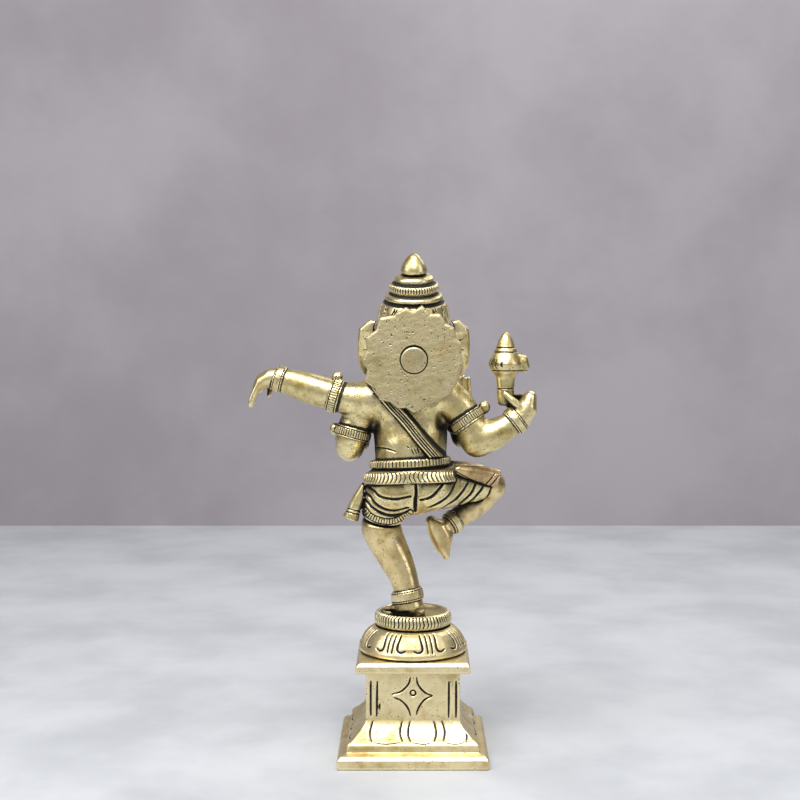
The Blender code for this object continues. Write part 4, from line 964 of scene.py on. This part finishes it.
def makeEar(node, look, side, seed):
    work = recast(node, look["grain"], look["rounds"])
    points = work["points"]
    middle = boxPoint(node)
    flat = np.column_stack([(points[:, 0] - middle[0]) * side, points[:, 2] - middle[2]])
    front = softStep(np.abs(work["normals"][:, 1]), 0.2, 0.5)
    for line in look["folds"]:
        cutLine(work, flat, line, 0.38, 0.3, front)
    work["push"] += 0.12 * lumps(points, 5.0, seed)
    return placePiece(work, skinBrass)


makeEar("left_ear", earLook, 1, 81)
makeEar("right_ear", earLook, -1, 83)
print("head done")

discLook = {
    "lean": math.radians(3), "squeeze": 0.975, "thick": 1.8, "hole": 4.9, "columns": 960, "rows": 74,
    "teeth": [(-9, 18.3), (8.6, 19.0), (31, 18.4), (52, 18.0), (72, 17.7), (94, 17.5), (115, 17.4),
              (134, 17.5), (153, 17.7), (180, 18.5), (199, 17.8), (221, 18.5), (247, 18.9), (270, 18.5),
              (294, 18.7), (320, 18.8)],
    "valley": 16.9, "lump": 0.08, "gasHoles": 46,
}


def toothedEdge(look, turn):   # the rim's radius at each angle
    out = np.zeros(len(turn))
    teeth = sorted((angle % 360, reach) for angle, reach in look["teeth"])
    teeth = [(teeth[-1][0] - 360, teeth[-1][1])] + teeth + [(teeth[0][0] + 360, teeth[0][1])]
    for (one, oneTip), (two, twoTip) in zip(teeth[:-1], teeth[1:]):
        inside = (turn >= one) & (turn < two)
        share = (turn[inside] - one) / (two - one) * 2 - 1
        tip = np.where(share < 0, oneTip, twoTip)
        out[inside] = look["valley"] + (tip - look["valley"]) * np.abs(share) ** 1.25
    return out


def makeDisc(look):
    columns, rows = look["columns"], look["rows"]
    middle = boxPoint("disc_rivet")
    middle[1] = boxPoint("back_disc")[1]
    degrees = np.arange(columns) * 360 / columns
    angle = np.radians(degrees)
    edge = toothedEdge(look, degrees)
    across = np.array([-look["squeeze"], 0, 0])
    up = np.array([0, -math.sin(look["lean"]), math.cos(look["lean"])])
    out = np.array([0, math.cos(look["lean"]), math.sin(look["lean"])])
    way = np.outer(np.sin(angle), across) + np.outer(np.cos(angle), up)
    half = look["thick"] / 2
    steps = [(share, half) for share in np.linspace(0, 0.985, rows)]
    steps += [(0.995, half - 0.12), (1.0, half - 0.4), (1.0, -half + 0.4), (0.99, -half + 0.08)]
    steps += [(share, -half) for share in np.linspace(0.96, 0, 24)]
    steps += [(0.0, -half / 2), (0.0, half / 2)]
    points, shares = [], []
    for share, high in steps:
        radius = look["hole"] + (edge - look["hole"]) * share
        points.append(middle + way * radius[:, None] + out * high)
        shares.append(np.full(columns, share if high > 0 else -1.0))
    work = newWork("back_disc", np.vstack(points), gridFaces(len(steps), columns, True))
    share = np.concatenate(shares)
    face = softStep(share, -0.5, 0.0)
    work["push"] += look["lump"] * lumps(work["points"], 3.4, 91) * face * (share < 0.99)
    work["push"] += 0.025 * lumps(work["points"], 1.1, 92) * face
    work["push"] -= 0.22 * softStep(share, 0.9, 0.99) * face
    work["dark"] = np.maximum(work["dark"], softStep(0.03 - share, 0, 0.03) * (share >= 0))
    random = np.random.default_rng(5)
    for _ in range(look["gasHoles"]):   # left by the casting
        spot = middle + across * random.normal(0, 7.0) + up * random.normal(0, 7.0) + out * half
        size = random.uniform(0.14, 0.42)
        sink(work, np.clip(1 - np.linalg.norm(work["points"] - spot, axis=1) / size, 0, 1), size * 0.8, face)
    return placePiece(work, sandBrass, seam=0.0)


rivetLook = {"grain": 0.2, "rounds": 12, "edge": (4.4, 4.7)}


def makeRivet(look):
    work = recast("disc_rivet", look["grain"], look["rounds"])
    points = work["points"]
    middle = boxPoint("disc_rivet")
    spread = np.hypot(points[:, 0] - middle[0], points[:, 2] - middle[2])
    work["push"] += 0.03 * lumps(points, 2.2, 95)
    work["dark"] = np.maximum(work["dark"], softStep(spread, *look["edge"]))
    return placePiece(work, sandBrass, seam=0.3)


makeDisc(discLook)
makeRivet(rivetLook)
print("disc done")

beltBase = {"ribs": (0.0, 0.92), "ribHalf": 0.3, "depth": 0.42, "lines": (),
            "lineHalf": 0.3, "lineDepth": 0.3, "grain": 0.17, "seam": 0.8, "sunk": 0.0, "thick": 20.0}
armletLook = {"ribs": (0.0, 0.56), "pitch": 0.95, "ribHalf": 0.25, "depth": 0.3, "lines": (-0.72, 0.72),
              "lineHalf": 0.32, "lineDepth": 0.4, "grain": 0.13, "seam": 0.3, "sunk": 0.35, "thick": 1.3}
braceletLook = {"ribs": (0.6, 0.9), "pitch": 1.0, "ribHalf": 0.22, "depth": 0.26, "lines": (-0.72, 0.72),
                "lineHalf": 0.26, "lineDepth": 0.25, "grain": 0.12, "seam": 0.3, "sunk": 0.35, "thick": 20.0}
armNames = ("rear_left", "front_left", "rear_right", "front_right")
bandLooks = {
    "waist_belt": {**beltBase, "pitch": 1.3},
    "hip_belt": {**beltBase, "pitch": 1.35, "arch": 0.7},
    **{name + "_armlet": armletLook for name in armNames},
    **{name + "_bracelet": braceletLook for name in armNames},
    "standing_anklet": braceletLook,
    "raised_anklet": braceletLook,
    "sacred_thread": {**beltBase, "pitch": 2.0, "ribs": (2.0, 2.0),
                      "lines": (-0.48, 0.02, 0.52), "lineHalf": 0.42, "lineDepth": 0.6},
}
for bandName, bandLook in bandLooks.items():
    band = recast(bandName, bandLook["grain"], 14)
    carveBand(band, bandLook)
    band["push"] += 0.03 * lumps(band["points"], 2.5, 7)
    placePiece(band, bandBrass, seam=bandLook["seam"], hollow=0.9)
print("bands done")


sashBrass = makeBrass("stainedSashBrass", {
    "pale": (0.78, 0.58, 0.31, 1), "deep": (0.34, 0.22, 0.09, 1), "warm": (0.55, 0.28, 0.10, 1)})


sashLooks = {   # each line with half its width
    "left_sash": {"seed": 101, "finish": skinBrass, "lines": [
        ([(24.5, -7.2), (16.0, -9.2)], 0.4), ([(24.5, -8.4), (16.0, -10.4)], 0.4)]},
    "right_sash": {"seed": 103, "finish": sashBrass, "lines": [
        ([(-30.3, 4.3), (-26.6, -0.2)], 0.42), ([(-31.9, 3.6), (-28.0, -1.0)], 0.42),
        ([(-16.5, 5.8), (-23.4, 1.5), (-31.1, -2.9)], 0.4)]},
}


def makeSash(node, look):
    work = recast(node, 0.2, 20)
    flat = work["points"][:, [0, 2]] - hipMiddle
    for line, half in look["lines"]:
        cutLine(work, flat, line, half, 0.35, taper=0.3)
    work["push"] += 0.08 * lumps(work["points"], 4.0, look["seed"])
    return placePiece(work, look["finish"], seam=1.0, reach=1.6)


for sashName, sashLook in sashLooks.items():
    makeSash(sashName, sashLook)

goadLook = {"grain": 0.17, "rounds": 16, "grooves": (130.6, 137.0, 143.6, 145.2), "half": 0.32,
            "depth": 0.28, "slits": (137.4, 141.2), "slitPitch": 1.3}


def makeGoad(look):
    work = recast("goad", look["grain"], look["rounds"])
    dressLimb(work, np.zeros(len(work["points"])), 40)
    points = work["points"]
    high = points[:, 2] - base[2]
    for place in look["grooves"]:
        sink(work, np.clip(1 - np.abs(high - place) / look["half"], 0, 1), look["depth"])
    low, top = look["slits"]
    shown = softStep(high, low, low + 0.6) * softStep(top - high, 0, 0.8)
    shown *= softStep(points[:, 0] - boxPoint("goad")[0], 2.0, 3.2)
    sink(work, ribGap(points[:, 1] / look["slitPitch"], look["slitPitch"], 0.24), 0.16, shown)
    work["push"] += 0.06 * lumps(points, 2.6, 111)
    return placePiece(work, skinBrass)


makeGoad(goadLook)
sweetsLook = {"grain": 0.17, "rounds": 10, "lump": 0.08, "lumpSize": 0.9}
sweetWork = recast("sweets", sweetsLook["grain"], sweetsLook["rounds"])
sweetWork["push"] += sweetsLook["lump"] * lumps(sweetWork["points"], sweetsLook["lumpSize"], 115)
placePiece(sweetWork, bandBrass)
for steelName in ("clamp_nut", "clamp_stud", "clamp_washer"):
    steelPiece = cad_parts[steelName]
    steelPiece.data.materials.clear()
    steelPiece.data.materials.append(steel)
print("small castings done")


stageLook = {"floor": (0.54, 0.555, 0.58, 1), "floorDark": (0.43, 0.445, 0.47, 1),
             "wall": (0.36, 0.335, 0.355, 1), "wallDark": (0.28, 0.255, 0.275, 1), "wallPlace": -0.50}


def makeStone(name, pale, dark, scale):
    material = bpy.data.materials.new(name)
    material.use_nodes = True
    tree = material.node_tree
    shader = tree.nodes["Principled BSDF"]
    place = tree.nodes.new("ShaderNodeTexCoord").outputs["Object"]
    share = stretch(tree, noiseNode(tree, place, scale, 6.0, 0.6), 0.35, 0.7)
    tree.links.new(mixColour(tree, share, pale, dark), shader.inputs["Base Color"])
    shader.inputs["Roughness"].default_value = 0.7
    return material


def makeSheet(name, corners, material):
    mesh = bpy.data.meshes.new(name)
    mesh.from_pydata(corners, [], [(0, 1, 2, 3)])
    mesh.materials.append(material)
    sheet = bpy.data.objects.new(name, mesh)
    bpy.context.scene.collection.objects.link(sheet)
    return sheet


wallY = stageLook["wallPlace"] + base[1] * mm
makeSheet("floor", [(-3, wallY, 0), (3, wallY, 0), (3, 4, 0), (-3, 4, 0)],
          makeStone("paleFloor", stageLook["floor"], stageLook["floorDark"], 14.0))
makeSheet("wall", [(3, wallY, 0), (-3, wallY, 0), (-3, wallY, 2.5), (3, wallY, 2.5)],
          makeStone("paleWall", stageLook["wall"], stageLook["wallDark"], 5.0))

lights = {
    "topSoft": {"place": (0.08, 0.34, 0.70), "size": (0.6, 0.4), "power": 6.6},
    "leftSoft": {"place": (0.60, 0.30, 0.42), "size": (0.35, 0.5), "power": 1.3},
    "rightSoft": {"place": (-0.55, 0.30, 0.36), "size": (0.2, 0.5), "power": 0.6},
    "frontSoft": {"place": (-0.25, -0.36, 0.55), "size": (0.4, 0.3), "power": 1.1},
}
aim = np.array([0, 0, 0.09]) + base * mm
for lightName, light in lights.items():
    lamp = bpy.data.lights.new(lightName, "AREA")
    lamp.shape = "RECTANGLE"
    lamp.size, lamp.size_y = light["size"]
    lamp.energy = light["power"]
    holder = bpy.data.objects.new(lightName, lamp)
    bpy.context.scene.collection.objects.link(holder)
    place = np.array(light["place"]) + base * mm
    back = unit(place - aim)
    side = unit(np.cross((0, 0, 1), back))
    turned = Matrix([[side[k], np.cross(back, side)[k], back[k]] for k in range(3)]).to_4x4()
    turned.translation = place
    holder.matrix_world = turned

world = bpy.data.worlds.new("room")
bpy.context.scene.world = world
world.use_nodes = True
sky = world.node_tree
backdrop = sky.nodes["Background"]
way = addNode(sky, "SeparateXYZ", {}, Vector=sky.nodes.new("ShaderNodeTexCoord").outputs["Generated"])
rise = stretch(sky, way.outputs["Z"], 0.1, 0.9)
facingWall = stretch(sky, way.outputs["Y"], 0.45, 0.95)
glow = mixColour(sky, facingWall, (0.07, 0.07, 0.08, 1), (0.80, 0.80, 0.82, 1))
sky.links.new(mixColour(sky, rise, glow, (0.8, 0.8, 0.8, 1)), backdrop.inputs["Color"])
backdrop.inputs["Strength"].default_value = 0.62

eyeLook = {"lens": 67.2, "shift": -0.01625, "behind": 0.530, "high": 0.167, "tilt": 4.4}
eye = bpy.data.cameras.new("eye")
eye.sensor_width = 36
eye.lens = eyeLook["lens"]
eye.shift_x = eyeLook["shift"]
camera = bpy.data.objects.new("eye", eye)
bpy.context.scene.collection.objects.link(camera)
camera.location = (base[0] * mm, base[1] * mm + eyeLook["behind"], eyeLook["high"])
camera.rotation_euler = (math.radians(90 - eyeLook["tilt"]), 0, math.radians(180))
bpy.context.scene.camera = camera
bpy.context.scene.view_settings.view_transform = "Standard"
print("stage ready")
